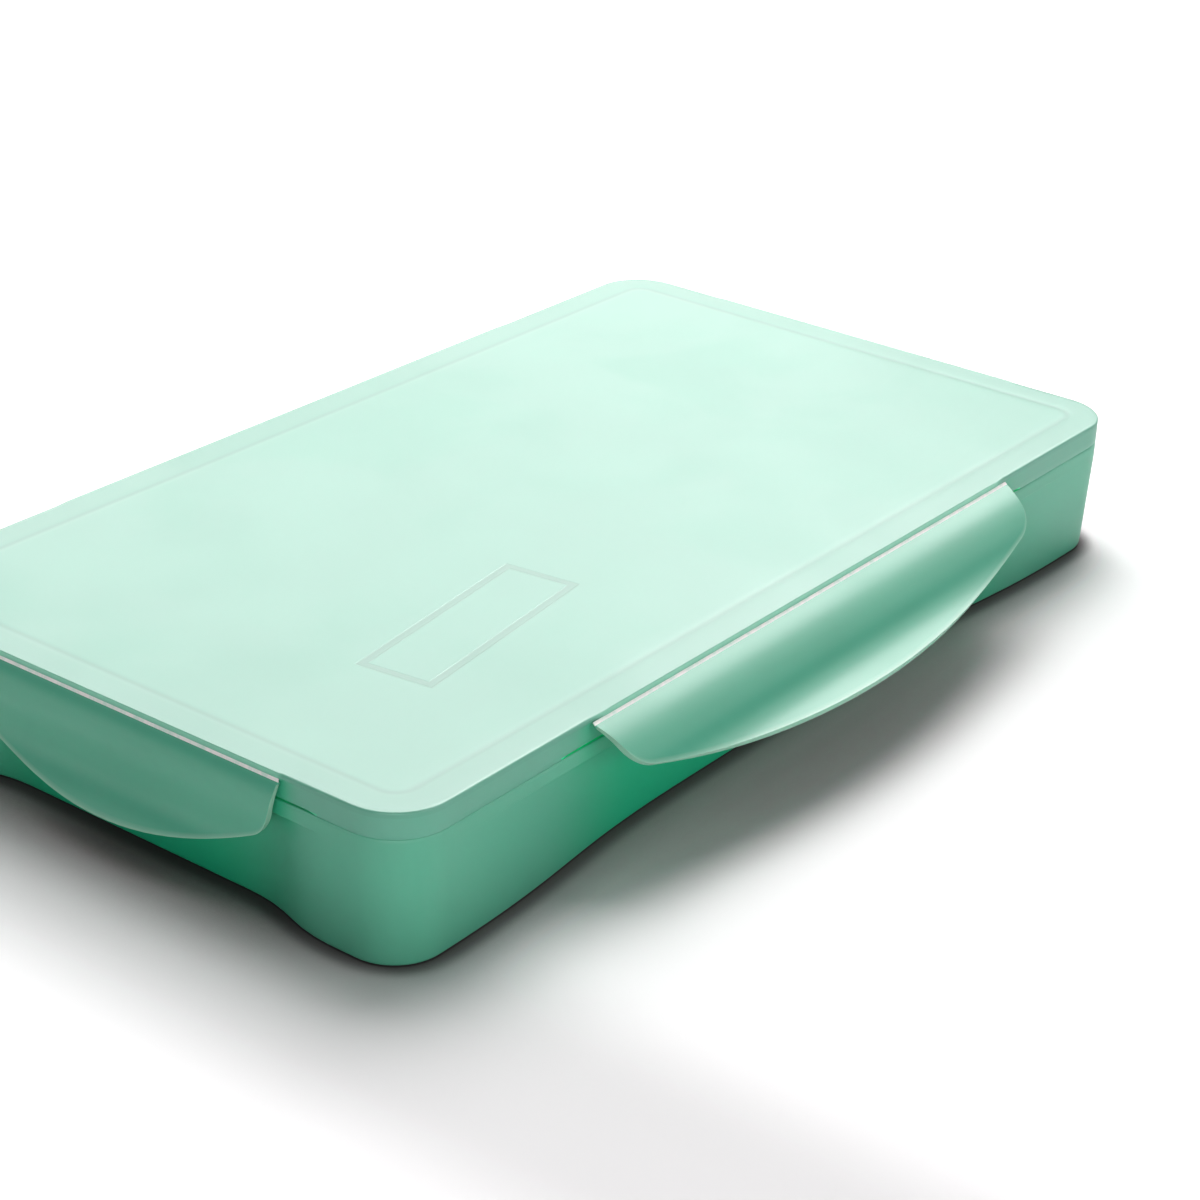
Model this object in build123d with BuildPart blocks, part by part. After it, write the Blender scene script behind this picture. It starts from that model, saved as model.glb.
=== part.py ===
"""Gouache paint set box: a tray with a flap-locked lid, jelly paint cups, a palette and brushes.

Frame: origin at the middle of the flat foot, +X along the long side, +Z up.
The front of the box is its -Y side.  All sizes are in millimetres.
"""
import os
from math import cos, radians, sin

from build123d import *

os.makedirs("parts", exist_ok=True)

# ---------------------------------------------------------------- driving dimensions

# Case
case_length = 300.0
case_width = 168.0
case_height = 38.0  # closed, from the foot to the top of the lid
corner_radius = 14.0
case_wall = 2.0
floor_thickness = 1.8
side_draft = 1.3  # how far the foot stands in from the outline under the rim band
foot_edge_radius = 1.2
rim_band_height = 3.9

# Finger bays, pressed into the four sides below the rim band
bay_depth = 5.0
long_bay_inset = 15.0  # from the end of a long side to where its bay starts
long_bay_blend = 92.0  # length of the curve from there to the bay's full depth
short_bay_inset = 20.0
short_bay_blend = 30.0

# Lid
lid_skirt_height = 6.4
lid_thickness = 1.8
skirt_thickness = 1.4
lid_edge_radius = 0.5
lip_thickness = 1.2
fit_clearance = 0.3  # between pieces that lift out of each other
skirt_relief_height = 0.5  # gap left under the skirt along each flap
skirt_relief_overrun = 8.0
sink_line_inset = 8.5
sink_line_width = 2.6
sink_line_depth = 0.25

# Living hinges: the axis lies outside and below the lid's top edge
hinge_stand_off = 0.95
hinge_drop = 1.1
web_radius = 0.38
web_clearance = 0.08
web_root_width = 0.2  # from the lid's nose to the hinge axis
nose_depth = 1.5  # height of the nose where it meets the skirt

# Flaps, closed: distances outward from the case's outline and down from the lid's top
long_flap_inset = 61.6  # from the end of a long side to the end of its flap
short_flap_inset = 33.0
flap_root_thickness = 0.7
flap_thickness = 1.6
flap_waist_thickness = 1.4
flap_root_slope = 0.4  # outward for each millimetre down
flap_bulge_out = 2.95
flap_bulge_drop = 10.0
flap_waist_out = 2.2
flap_waist_drop = 18.5
flap_tip_out = 5.5
flap_tip_drop = 27.4
flap_tip_angle = 60.0  # of the flared tip, below the horizontal
long_flap_slant = 3.6  # how far a long flap narrows down to its rounded corners
short_flap_slant = 2.6
flap_corner_drop = 14.2
flap_corner_radius = 9.5
flap_middle_drop = 26.6
latch_rib_out = 0.1  # where the rib inside a flap ends, from the case's side
latch_rib_drop = 11.6
latch_rib_height = 2.3
latch_rib_radius = 0.3
latch_rib_inset = 24.0  # from the end of a flap to the end of its rib
front_flap_opening = 44.0  # degrees, where the front flap stands at rest

# Palette
palette_sink = 2.5  # how far its floor hangs below the shelf that carries it
palette_wall = 1.4
palette_floor = 1.2
palette_flange_thickness = 1.2
palette_headroom = 0.8  # under the lid
brush_channel_width = 26.0
small_well_width = 40.0
small_well_count = 6
mixing_well_count = 2
well_corner_radius = 2.5
well_floor_radius = 1.0

# Paint cups
cup_columns = 6
cup_rows = 3
cup_end_gap = 5.0  # from the cups' block to the tray's end walls
cup_side_gap = 8.0
cup_spacing = 0.6
cup_headroom = 0.5  # under the palette
cup_flange = 1.9
cup_flange_thickness = 1.0
cup_draft = 2.2
cup_wall = 1.0
cup_corner_radius = 6.0
foil_thickness = 0.2
foil_margin = 0.4
paint_headspace = 2.0

# Brushes
brush_count = 3
brush_pitch = 8.0
brush_start = -92.0  # x of the bristles' tips
bristle_lengths = [17.0, 15.0, 13.0]
bristle_radii = [2.3, 2.1, 1.7]
ferrule_length = 30.0
ferrule_wall = 0.35
ferrule_overlap = 7.0  # of the handle and of the bristles, inside the ferrule
handle_length = 124.0
handle_belly_radius = 3.3
handle_neck_radius = 2.3
handle_end_radius = 1.5
sleeve_clearance = 0.05

# ---------------------------------------------------------------- heights and levels

parting_z = case_height - lid_skirt_height
band_bottom_z = parting_z - rim_band_height
shelf_z = band_bottom_z + case_wall
lid_underside_z = case_height - lid_thickness
lip_bottom_z = shelf_z + fit_clearance
palette_bottom_z = shelf_z - palette_sink
palette_floor_z = palette_bottom_z + palette_floor
palette_top_z = lid_underside_z - palette_headroom
foil_top_z = palette_bottom_z - cup_headroom
cup_top_z = foil_top_z - foil_thickness

long_flap_length = case_length - 2 * long_flap_inset
short_flap_length = case_width - 2 * short_flap_inset

# Each side: name, outward direction, distance from the middle, length of its flap
SIDES = {
    "front": (Vector(0, -1, 0), case_width / 2, long_flap_length),
    "back": (Vector(0, 1, 0), case_width / 2, long_flap_length),
    "left": (Vector(-1, 0, 0), case_length / 2, short_flap_length),
    "right": (Vector(1, 0, 0), case_length / 2, short_flap_length),
}


def save(builder, name):
    """Label a finished piece and write it as its own STEP file."""
    builder.part.label = name
    export_step(builder.part, f"parts/{name}.step")


# ---------------------------------------------------------------- outlines


def rounded_outline(inset):
    """The plain rounded rectangle of the case, set in by inset."""
    RectangleRounded(
        case_length - 2 * inset,
        case_width - 2 * inset,
        max(corner_radius - inset, 1.0),
    )


def bay_outline(z, inset):
    """The case's outline below the rim band at height z, with a finger bay in each side."""
    half_x = case_length / 2 - inset
    half_y = case_width / 2 - inset
    radius = max(corner_radius - inset, 1.0)
    long_start = case_length / 2 - long_bay_inset
    long_flat = long_start - long_bay_blend
    short_start = case_width / 2 - short_bay_inset
    short_flat = short_start - short_bay_blend
    long_middle = (long_start + long_flat) / 2
    short_middle = (short_start + short_flat) / 2
    with BuildSketch(Plane.XY.offset(z)) as outline:
        with BuildLine():
            Line((0, half_y - bay_depth), (long_flat, half_y - bay_depth))
            Bezier(
                (long_flat, half_y - bay_depth),
                (long_middle, half_y - bay_depth),
                (long_middle, half_y),
                (long_start, half_y),
            )
            Line((long_start, half_y), (half_x - radius, half_y))
            CenterArc((half_x - radius, half_y - radius), radius, 0, 90)
            Line((half_x, half_y - radius), (half_x, short_start))
            Bezier(
                (half_x, short_start),
                (half_x, short_middle),
                (half_x - bay_depth, short_middle),
                (half_x - bay_depth, short_flat),
            )
            Line((half_x - bay_depth, short_flat), (half_x - bay_depth, 0))
            mirror(about=Plane.XZ)
            mirror(about=Plane.YZ)
        make_face()
    return outline.sketch


# ---------------------------------------------------------------- case base

with BuildPart() as case_base:
    loft([bay_outline(0, side_draft), bay_outline(band_bottom_z, 0)], ruled=True)
    foot_edges = case_base.faces().sort_by(Axis.Z)[0].edges()
    fillet(foot_edges, foot_edge_radius)
    with BuildSketch(Plane.XY.offset(band_bottom_z)):
        rounded_outline(0)
    extrude(amount=rim_band_height)
    cavity_foot = bay_outline(floor_thickness, case_wall + side_draft)
    loft([cavity_foot, bay_outline(shelf_z, case_wall)], ruled=True, mode=Mode.SUBTRACT)
    with BuildSketch(Plane.XY.offset(shelf_z)):
        rounded_outline(case_wall)
    extrude(amount=parting_z - shelf_z, mode=Mode.SUBTRACT)
save(case_base, "case_base")

# ---------------------------------------------------------------- lid


def side_planes(side, opening=0.0):
    """Section plane (outward, up) and face plane of a flap, both centred on its hinge axis."""
    outward, distance, _ = SIDES[side]
    up = Vector(0, 0, 1)
    origin = outward * (distance + hinge_stand_off) + up * (case_height - hinge_drop)
    turned_out = outward * cos(radians(opening)) + up * sin(radians(opening))
    along = outward.cross(up)
    section = Plane(origin=origin, x_dir=turned_out, z_dir=along)
    face = Plane(origin=origin, x_dir=along * -1, z_dir=turned_out)
    return section, face


def from_hinge(out, drop):
    """A point of the closed side, given from the lid's top edge, seen from the hinge axis."""
    return (out - hinge_stand_off, hinge_drop - drop)


with BuildPart() as lid:
    with BuildSketch(Plane.XY.offset(parting_z)):
        rounded_outline(0)
    extrude(amount=lid_skirt_height)
    fillet(lid.faces().sort_by(Axis.Z)[-1].edges(), lid_edge_radius)
    with BuildSketch(Plane.XY.offset(parting_z)):
        rounded_outline(skirt_thickness)
    extrude(amount=lid_underside_z - parting_z, mode=Mode.SUBTRACT)
    with BuildSketch(Plane.XY.offset(lip_bottom_z)):
        rounded_outline(case_wall + fit_clearance)
        with BuildSketch(mode=Mode.SUBTRACT):
            rounded_outline(case_wall + fit_clearance + lip_thickness)
    extrude(amount=lid_underside_z - lip_bottom_z)
    for side, (outward, distance, flap_length) in SIDES.items():
        section_plane, _ = side_planes(side)
        nose_out = hinge_stand_off - web_root_width
        with BuildSketch(section_plane):
            with BuildLine():
                Polyline(
                    from_hinge(-skirt_thickness, lid_edge_radius),
                    from_hinge(-lid_edge_radius, 0),
                    from_hinge(0, 0),
                    from_hinge(nose_out, hinge_drop - web_radius),
                    from_hinge(nose_out, hinge_drop + web_root_width),
                    from_hinge(0, nose_depth),
                    from_hinge(-skirt_thickness, nose_depth),
                    close=True,
                )
            make_face()
        extrude(amount=flap_length / 2, both=True)
        relief_length = flap_length + 2 * skirt_relief_overrun
        relief_z = parting_z + skirt_relief_height / 2
        relief_plane = Plane(
            origin=outward * distance + Vector(0, 0, relief_z),
            x_dir=outward.cross(Vector(0, 0, 1)),
            z_dir=outward,
        )
        with BuildSketch(relief_plane):
            Rectangle(relief_length, skirt_relief_height)
        extrude(amount=-skirt_thickness, mode=Mode.SUBTRACT)
    with BuildSketch(Plane.XY.offset(case_height)):
        rounded_outline(sink_line_inset - sink_line_width / 2)
        with BuildSketch(mode=Mode.SUBTRACT):
            rounded_outline(sink_line_inset + sink_line_width / 2)
    extrude(amount=-sink_line_depth, mode=Mode.SUBTRACT)
save(lid, "lid")

# ---------------------------------------------------------------- hinge webs and flaps


def make_hinge_web(side):
    """The thin bending strip between the lid's nose and the flap."""
    flap_length = SIDES[side][2]
    section_plane, _ = side_planes(side)
    with BuildPart() as hinge_web:
        with BuildSketch(section_plane):
            Circle(web_radius)
            with Locations((-web_root_width, 0)):
                Rectangle(
                    2 * web_radius,
                    4 * web_radius,
                    align=(Align.MAX, Align.CENTER),
                    mode=Mode.SUBTRACT,
                )
        extrude(amount=flap_length / 2, both=True)
    save(hinge_web, f"hinge_web_{side}")


def make_flap(side, opening):
    """A curved locking flap: an S-shaped sheet trimmed to a crescent, with a latch rib inside."""
    flap_length = SIDES[side][2]
    flap_side_slant = long_flap_slant if side in ("front", "back") else short_flap_slant
    section_plane, face_plane = side_planes(side, opening)
    root_drop = hinge_drop + web_radius + web_clearance
    tip_angle = radians(flap_tip_angle)
    tip = (flap_tip_out, flap_tip_drop)
    tip_inside = (
        flap_tip_out - flap_thickness * sin(tip_angle),
        flap_tip_drop + flap_thickness * cos(tip_angle),
    )
    root_out = hinge_stand_off + web_clearance
    corner_x = flap_length / 2 - flap_side_slant
    with BuildPart() as flap:
        with BuildSketch(section_plane):
            with BuildLine():
                outside = Spline(
                    from_hinge(root_out, root_drop),
                    from_hinge(flap_bulge_out, flap_bulge_drop),
                    from_hinge(flap_waist_out, flap_waist_drop),
                    from_hinge(*tip),
                    tangents=[(flap_root_slope, -1), (cos(tip_angle), -sin(tip_angle))],
                )
                inside = Spline(
                    from_hinge(*tip_inside),
                    from_hinge(flap_waist_out - flap_waist_thickness, flap_waist_drop),
                    from_hinge(flap_bulge_out - flap_thickness, flap_bulge_drop),
                    from_hinge(root_out - flap_root_thickness, root_drop),
                    tangents=[(-cos(tip_angle), sin(tip_angle)), (0, 1)],
                )
                Line(outside @ 1, inside @ 0)
                Line(inside @ 1, outside @ 0)
            make_face()
        extrude(amount=flap_length / 2, both=True)
        with BuildSketch(face_plane) as crescent:
            with BuildLine():
                left_edge = Line(
                    (-flap_length / 2, hinge_drop),
                    (-corner_x, hinge_drop - flap_corner_drop),
                )
                lower_edge = ThreePointArc(
                    (-corner_x, hinge_drop - flap_corner_drop),
                    (0, hinge_drop - flap_middle_drop),
                    (corner_x, hinge_drop - flap_corner_drop),
                )
                right_edge = Line(lower_edge @ 1, (flap_length / 2, hinge_drop))
                Line(right_edge @ 1, left_edge @ 0)
            make_face()
            lower_corners = crescent.vertices().filter_by(
                lambda vertex: abs(abs(vertex.X) - corner_x) < flap_side_slant / 2
            )
            fillet(lower_corners, flap_corner_radius)
        extrude(amount=2 * flap_middle_drop, both=True, mode=Mode.INTERSECT)
        rib_root = flap_bulge_out - flap_thickness / 2
        with BuildSketch(section_plane) as rib:
            with BuildLine():
                Polyline(
                    from_hinge(rib_root, latch_rib_drop - latch_rib_height / 2),
                    from_hinge(latch_rib_out, latch_rib_drop),
                    from_hinge(rib_root, latch_rib_drop + latch_rib_height / 2),
                    close=True,
                )
            make_face()
            rib_tip = rib.vertices().sort_by(Axis.X)[0]
            fillet(rib_tip, latch_rib_radius)
        extrude(amount=flap_length / 2 - latch_rib_inset, both=True)
    save(flap, f"flap_{side}")


for side in SIDES:
    make_hinge_web(side)
    make_flap(side, front_flap_opening if side == "front" else 0.0)

# ---------------------------------------------------------------- palette

flange_inset = case_wall + fit_clearance + lip_thickness + fit_clearance
tray_inset = case_wall + bay_depth + fit_clearance + side_draft * palette_sink / shelf_z
tray_length = case_length - 2 * tray_inset
tray_width = case_width - 2 * tray_inset
inside_length = tray_length - 2 * palette_wall
inside_back = tray_width / 2 - palette_wall
channel_front = inside_back - brush_channel_width
small_back = small_well_width - inside_back
mixing_front = small_back + palette_wall
mixing_back = channel_front - palette_wall


def well_row(count, front, back):
    """The plan of a row of equal wells between two lines of the palette."""
    length = (inside_length - (count - 1) * palette_wall) / count
    with BuildSketch(Plane.XY.offset(palette_floor_z)) as wells:
        with Locations((0, (front + back) / 2)):
            with GridLocations(length + palette_wall, 0, count, 1):
                RectangleRounded(length, back - front, well_corner_radius)
    return wells.sketch


with BuildPart() as palette:
    with BuildSketch(Plane.XY.offset(palette_bottom_z)):
        RectangleRounded(tray_length, tray_width, well_corner_radius + palette_wall)
    extrude(amount=palette_top_z - palette_bottom_z)
    with BuildSketch(Plane.XY.offset(shelf_z)):
        rounded_outline(flange_inset)
    extrude(amount=palette_flange_thickness)
    well_rows = [
        well_row(1, channel_front, inside_back),
        well_row(mixing_well_count, mixing_front, mixing_back),
        well_row(small_well_count, -inside_back, small_back),
    ]
    for wells in well_rows:
        extrude(wells, amount=palette_top_z - palette_floor_z, mode=Mode.SUBTRACT)
    well_floors = palette.faces().filter_by(Axis.Z).filter_by(
        lambda face: abs(face.center().Z - palette_floor_z) < palette_floor / 2
    )
    fillet(well_floors.edges(), well_floor_radius)

# The moulding is kept as a floor plate and straight walls that meet face to face, so that
# each one collides as it is and the wells stay open.
zone_half_length = inside_length / 2 - well_corner_radius
zone_half_width = inside_back - well_corner_radius


def rim_zones(long_sides):
    """The plan of two opposite outer walls of the palette, mitred at its corners."""
    half_length = case_length / 2
    half_width = case_width / 2
    with BuildSketch(Plane.XY.offset(palette_floor_z)) as zones:
        with BuildLine():
            if long_sides:
                Polyline(
                    (-zone_half_length, zone_half_width),
                    (zone_half_length, zone_half_width),
                    (half_length, half_width),
                    (-half_length, half_width),
                    close=True,
                )
            else:
                Polyline(
                    (zone_half_length, -zone_half_width),
                    (half_length, -half_width),
                    (half_length, half_width),
                    (zone_half_length, zone_half_width),
                    close=True,
                )
        make_face()
        mirror(about=Plane.XZ if long_sides else Plane.YZ)
    return zones.sketch


def band_zones(bands):
    """The plan of bands that run the length of the palette, each from a front to a back line."""
    with BuildSketch(Plane.XY.offset(palette_floor_z)) as zones:
        for front, back in bands:
            with Locations((0, (front + back) / 2)):
                Rectangle(2 * zone_half_length, back - front)
    return zones.sketch


def palette_walls(zones):
    """The walls of the moulding that stand inside a plan, as separate solids."""
    with BuildPart() as walls:
        add(palette.part)
        extrude(zones, amount=palette_top_z - palette_floor_z, mode=Mode.INTERSECT)
    return walls.solids()


long_divider_bands = [
    (small_back - well_corner_radius, mixing_front + well_corner_radius),
    (mixing_back - well_corner_radius, channel_front + well_corner_radius),
]
cross_divider_bands = [
    (-zone_half_width, long_divider_bands[0][0]),
    (long_divider_bands[0][1], long_divider_bands[1][0]),
]
with BuildPart() as palette_floor_plate:
    add(palette.part)
    split(bisect_by=Plane.XY.offset(palette_floor_z), keep=Keep.BOTTOM)
palette_solids = list(palette_floor_plate.solids())
palette_solids += palette_walls(rim_zones(long_sides=True))
palette_solids += palette_walls(rim_zones(long_sides=False))
palette_solids += palette_walls(band_zones(long_divider_bands))
palette_solids += palette_walls(band_zones(cross_divider_bands))
palette_moulding = Compound(palette_solids, label="palette")
export_step(palette_moulding, "parts/palette.step")

# ---------------------------------------------------------------- paint cups

cup_pitch_x = (case_length - 2 * (case_wall + bay_depth + cup_end_gap)) / cup_columns
cup_pitch_y = (case_width - 2 * (case_wall + bay_depth + cup_side_gap)) / cup_rows
flange_length = cup_pitch_x - cup_spacing
flange_width = cup_pitch_y - cup_spacing
cup_centres = [
    Vector((column - (cup_columns - 1) / 2) * cup_pitch_x, (row - (cup_rows - 1) / 2) * cup_pitch_y)
    for row in range(cup_rows)
    for column in range(cup_columns)
]


def cup_section(z, centre, inset):
    """A rounded square of a cup's body at height z."""
    with BuildSketch(Plane(origin=(centre.X, centre.Y, z))) as section:
        RectangleRounded(
            flange_length - 2 * inset,
            flange_width - 2 * inset,
            max(cup_corner_radius - inset / 2, 1.0),
        )
    return section.sketch


def inner_inset(z):
    """How far the inside of a cup stands in from its flange's edge at height z."""
    share = (cup_top_z - z) / (cup_top_z - floor_thickness)
    return cup_flange + cup_wall + cup_draft * share


def cup_loft(low_z, low_inset, high_z, high_inset, centre, mode=Mode.ADD):
    """A tapered block between two sections of a cup."""
    sections = [cup_section(low_z, centre, low_inset), cup_section(high_z, centre, high_inset)]
    loft(sections, ruled=True, mode=mode)


cup_floor_z = floor_thickness + cup_wall
paint_top_z = cup_top_z - paint_headspace
paint_floor_inset = inner_inset(cup_floor_z) + fit_clearance
paint_top_inset = inner_inset(paint_top_z) + fit_clearance

for number, centre in enumerate(cup_centres, start=1):
    with BuildPart() as cup:
        cup_loft(floor_thickness, cup_flange + cup_draft, cup_top_z, cup_flange, centre)
        extrude(cup_section(cup_top_z, centre, 0), amount=-cup_flange_thickness)
        cup_loft(
            cup_floor_z,
            inner_inset(cup_floor_z),
            cup_top_z,
            inner_inset(cup_top_z),
            centre,
            Mode.SUBTRACT,
        )
    save(cup, f"paint_cup_{number:02d}")
    with BuildPart() as foil_seal:
        extrude(cup_section(cup_top_z, centre, foil_margin), amount=foil_thickness)
    save(foil_seal, f"foil_seal_{number:02d}")

for row, row_name in enumerate(["front", "middle", "back"][:cup_rows]):
    with BuildPart() as paint:
        for centre in cup_centres[row * cup_columns : (row + 1) * cup_columns]:
            cup_loft(cup_floor_z, paint_floor_inset, paint_top_z, paint_top_inset, centre)
    save(paint, f"paint_row_{row_name}")

# ---------------------------------------------------------------- brushes

brush_z = palette_floor_z + handle_belly_radius + fit_clearance / 2
channel_middle = (channel_front + inside_back) / 2


for number in range(brush_count):
    bristle_length = bristle_lengths[number]
    bristle_radius = bristle_radii[number]
    sleeve_radius = bristle_radius + sleeve_clearance
    ferrule_radius = sleeve_radius + ferrule_wall
    ferrule_end = bristle_length + ferrule_length
    handle_end = ferrule_end + handle_length
    tip_arc = handle_end_radius * (1 - cos(radians(45)))
    brush_y = channel_middle + (number - (brush_count - 1) / 2) * brush_pitch
    origin = Vector(brush_start, brush_y, brush_z)
    long_axis = Axis(origin, (1, 0, 0))
    half_section = Plane(origin=origin, x_dir=(1, 0, 0), z_dir=(0, -1, 0))
    with BuildPart() as bristles:
        with BuildSketch(half_section):
            with BuildLine():
                bristle_curve = Bezier(
                    (0, 0),
                    (bristle_length * 0.1, bristle_radius * 0.8),
                    (bristle_length * 0.5, bristle_radius * 1.1),
                    (bristle_length, bristle_radius),
                )
                Polyline(
                    bristle_curve @ 1,
                    (bristle_length + ferrule_overlap, bristle_radius),
                    (bristle_length + ferrule_overlap, 0),
                    (0, 0),
                )
            make_face()
        revolve(axis=long_axis)
    save(bristles, f"brush_{number + 1}_bristles")
    with BuildPart() as ferrule:
        with BuildSketch(half_section):
            with BuildLine():
                Polyline(
                    (bristle_length, sleeve_radius),
                    (bristle_length, ferrule_radius),
                    (ferrule_end, ferrule_radius),
                    (ferrule_end, sleeve_radius),
                    close=True,
                )
            make_face()
        revolve(axis=long_axis)
    save(ferrule, f"brush_{number + 1}_ferrule")
    with BuildPart() as handle:
        with BuildSketch(half_section):
            with BuildLine():
                Polyline(
                    (handle_end, 0),
                    (ferrule_end - ferrule_overlap, 0),
                    (ferrule_end - ferrule_overlap, bristle_radius),
                    (ferrule_end, bristle_radius),
                    (ferrule_end, ferrule_radius),
                )
                belly = Spline(
                    (ferrule_end, ferrule_radius),
                    (ferrule_end + handle_length * 0.18, handle_belly_radius),
                    (ferrule_end + handle_length * 0.6, handle_neck_radius),
                    (handle_end - handle_end_radius, handle_end_radius),
                )
                ThreePointArc(
                    belly @ 1,
                    (handle_end - tip_arc, handle_end_radius * sin(radians(45))),
                    (handle_end, 0),
                )
            make_face()
        revolve(axis=long_axis)
    save(handle, f"brush_{number + 1}_handle")
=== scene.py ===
"""A mint gouache paint box with a flap-locked lid, jelly paint cups, a palette and brushes."""
import math
import random

import bmesh
import bpy
import numpy as np
from bpy.props import FloatProperty, FloatVectorProperty, IntProperty, PointerProperty
from mathutils import Matrix, Vector


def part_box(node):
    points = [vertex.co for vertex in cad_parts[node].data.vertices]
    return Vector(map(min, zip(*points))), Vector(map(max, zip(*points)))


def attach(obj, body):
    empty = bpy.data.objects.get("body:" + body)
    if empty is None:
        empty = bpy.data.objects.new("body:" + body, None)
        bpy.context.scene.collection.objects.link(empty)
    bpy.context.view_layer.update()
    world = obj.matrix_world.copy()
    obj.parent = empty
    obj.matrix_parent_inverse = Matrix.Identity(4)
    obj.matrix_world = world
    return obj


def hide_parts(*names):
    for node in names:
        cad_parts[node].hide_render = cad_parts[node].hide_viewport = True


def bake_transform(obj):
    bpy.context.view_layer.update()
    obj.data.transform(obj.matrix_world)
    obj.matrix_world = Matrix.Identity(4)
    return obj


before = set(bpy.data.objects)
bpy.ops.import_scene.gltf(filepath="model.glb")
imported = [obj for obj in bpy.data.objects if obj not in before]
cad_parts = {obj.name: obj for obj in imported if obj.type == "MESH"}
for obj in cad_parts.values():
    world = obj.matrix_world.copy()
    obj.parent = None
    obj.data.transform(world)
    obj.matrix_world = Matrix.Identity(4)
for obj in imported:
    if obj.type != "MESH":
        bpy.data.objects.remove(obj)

bl_info = {
    "name": "Gouache Paint Box",
    "version": (1, 0, 0),
    "blender": (4, 5, 0),
    "location": "3D View > Sidebar > Paint Box",
    "description": "Makes a flap-locked paint box with its cups, palette and brushes",
    "category": "Add Mesh",
}

MM = 0.001
PITCH = 46.0  # millimetres between the middles of two cups
UP = Vector((0, 0, 1))
ALONG = (Vector((1, 0, 0)), Vector((0, 1, 0)), Vector((-1, 0, 0)), Vector((0, -1, 0)))
OUT = (Vector((0, -1, 0)), Vector((1, 0, 0)), Vector((0, 1, 0)), Vector((-1, 0, 0)))
CORNERS = ((1, -1), (1, 1), (-1, 1), (-1, -1))
SIDES = {"front": 0, "right": 1, "back": 2, "left": 3}
WHITE = (1.0, 1.0, 1.0, 1.0)
PAINTED_BOUNCE = (0.012, 0.375, 0.19, 1.0)  # painted bounce light: deep saturated mint painted where light is caught between two walls
SLOT_GLOW = (0.008, 0.78, 0.33, 1.0)  # painted glow: bright mint painted deep in the narrow relief slots
FOLD_SHADE = (0.025, 0.285, 0.175, 1.0)  # painted shade: darker mint painted in the folds of a flap
HINGE_STRIP_LIGHT = (0.26, 0.68, 0.48, 1.0)  # painted light: paler mint painted on the sloped strip by each hinge
FLAP_RIM_HIGHLIGHT = (0.38, 0.56, 0.45, 1.0)  # painted highlight: paler mint painted along a flap's rim and ends
SCUFFED = (0.4, 0.5, 0.45, 1.0)


# ---- sizes and colours


def number(name, value, about, **more):
    """A plain number."""
    return FloatProperty(name=name, description=about, default=value, **more)


def length(name, mm, about):
    """A length whose default is given in millimetres."""
    return number(name, mm * MM, about, min=0, unit="LENGTH")


def degrees(name, angle, about):
    """An angle whose default is given in degrees."""
    return number(name, math.radians(angle), about, subtype="ANGLE")


def watts(name, value, about):
    """The power of a lamp."""
    return number(name, value, about, min=0, unit="POWER")


def tint(name, red, green, blue, about):
    """A colour in linear light."""
    return FloatVectorProperty(
        name=name, description=about, default=(red, green, blue), min=0, max=1, subtype="COLOR"
    )


class PaintBoxCase(bpy.types.PropertyGroup):
    """Sizes of the tray."""

    length: length("Length", 300, "Outside length of the case")
    width: length("Width", 168, "Outside width of the case")
    height: length("Height", 38, "Closed height, foot to lid")
    corner: length("Corner Radius", 14, "Radius of the four upright corners")
    wall: length("Wall", 2, "Thickness of the tray's wall")
    floor: length("Floor", 1.8, "Thickness of the tray's floor")
    draft: length("Draft", 1.3, "Lean of the wall, from foot to rim")
    foot: length("Foot Radius", 1.2, "Rounding round the foot")
    band: length("Rim Band", 3.9, "Height of the plain band under the lid")
    bay: length("Finger Bay", 5, "Depth of the hollow in each side")
    long_start: length("Long Bay Start", 135, "Where a long side's hollow starts")
    long_flat: length("Long Bay Flat", 43, "Half length of its full depth")
    short_start: length("Short Bay Start", 64, "Where a short side's hollow starts")
    short_flat: length("Short Bay Flat", 34, "Half length of its full depth")


class PaintBoxLid(bpy.types.PropertyGroup):
    """Sizes of the lid."""

    skirt: length("Skirt", 6.4, "Height of the lid's side")
    plate: length("Plate", 1.8, "Thickness of the lid's top")
    side: length("Skirt Thickness", 1.4, "Thickness of the lid's side")
    edge: length("Edge Radius", 0.5, "Rounding of the top edge")
    lip: length("Lip", 1.2, "Thickness of the rib inside the tray")
    gap: length("Fit", 0.3, "Room between fitted pieces")
    relief: length("Relief", 0.5, "Gap under the skirt beside a flap")
    overrun: length("Relief Overrun", 9.6, "How far the gap runs past a flap")
    sink: length("Sink Line", 8.5, "Where the faint line inside the edge runs")
    sink_width: length("Sink Width", 3.4, "Width of that line")
    sink_depth: length("Sink Depth", 0.075, "Depth of that line")
    nose: length("Nose", 0.75, "How far the hinge nose stands out")


class PaintBoxFlaps(bpy.types.PropertyGroup):
    """Sizes of the four locking flaps and their living hinges."""

    axis_out: length("Axis Out", 0.95, "Hinge axis, outward of the case")
    axis_drop: length("Axis Drop", 1.1, "Hinge axis, below the lid's top")
    web: length("Web Radius", 0.38, "Half thickness of the living hinge")
    long: length("Long Flap", 176.8, "Length of a flap on a long side")
    short: length("Short Flap", 102, "Length of a flap on a short side")
    long_slant: length("Long Slant", 3.6, "Slant of a long flap's ends")
    short_slant: length("Short Slant", 2.6, "Slant of a short flap's ends")
    corner: length("Corner Radius", 9.5, "Rounding of the lower corners")
    corner_drop: length("Corner Drop", 13.9, "Height of a flap at its ends")
    long_middle: length("Long Middle", 26.3, "Height of a long flap's middle")
    short_middle: length("Short Middle", 27.1, "Height of a short flap's middle")
    latch: length("Latch Inset", 24, "From the end of a flap to its latch rib")
    thickness: length("Thickness", 1.6, "Thickness of a flap")
    rim: length("Rim Radius", 0.52, "Rounding of a flap's rim")
    opening: degrees("Front Opening", 44, "How far the front flap stands open")


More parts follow.
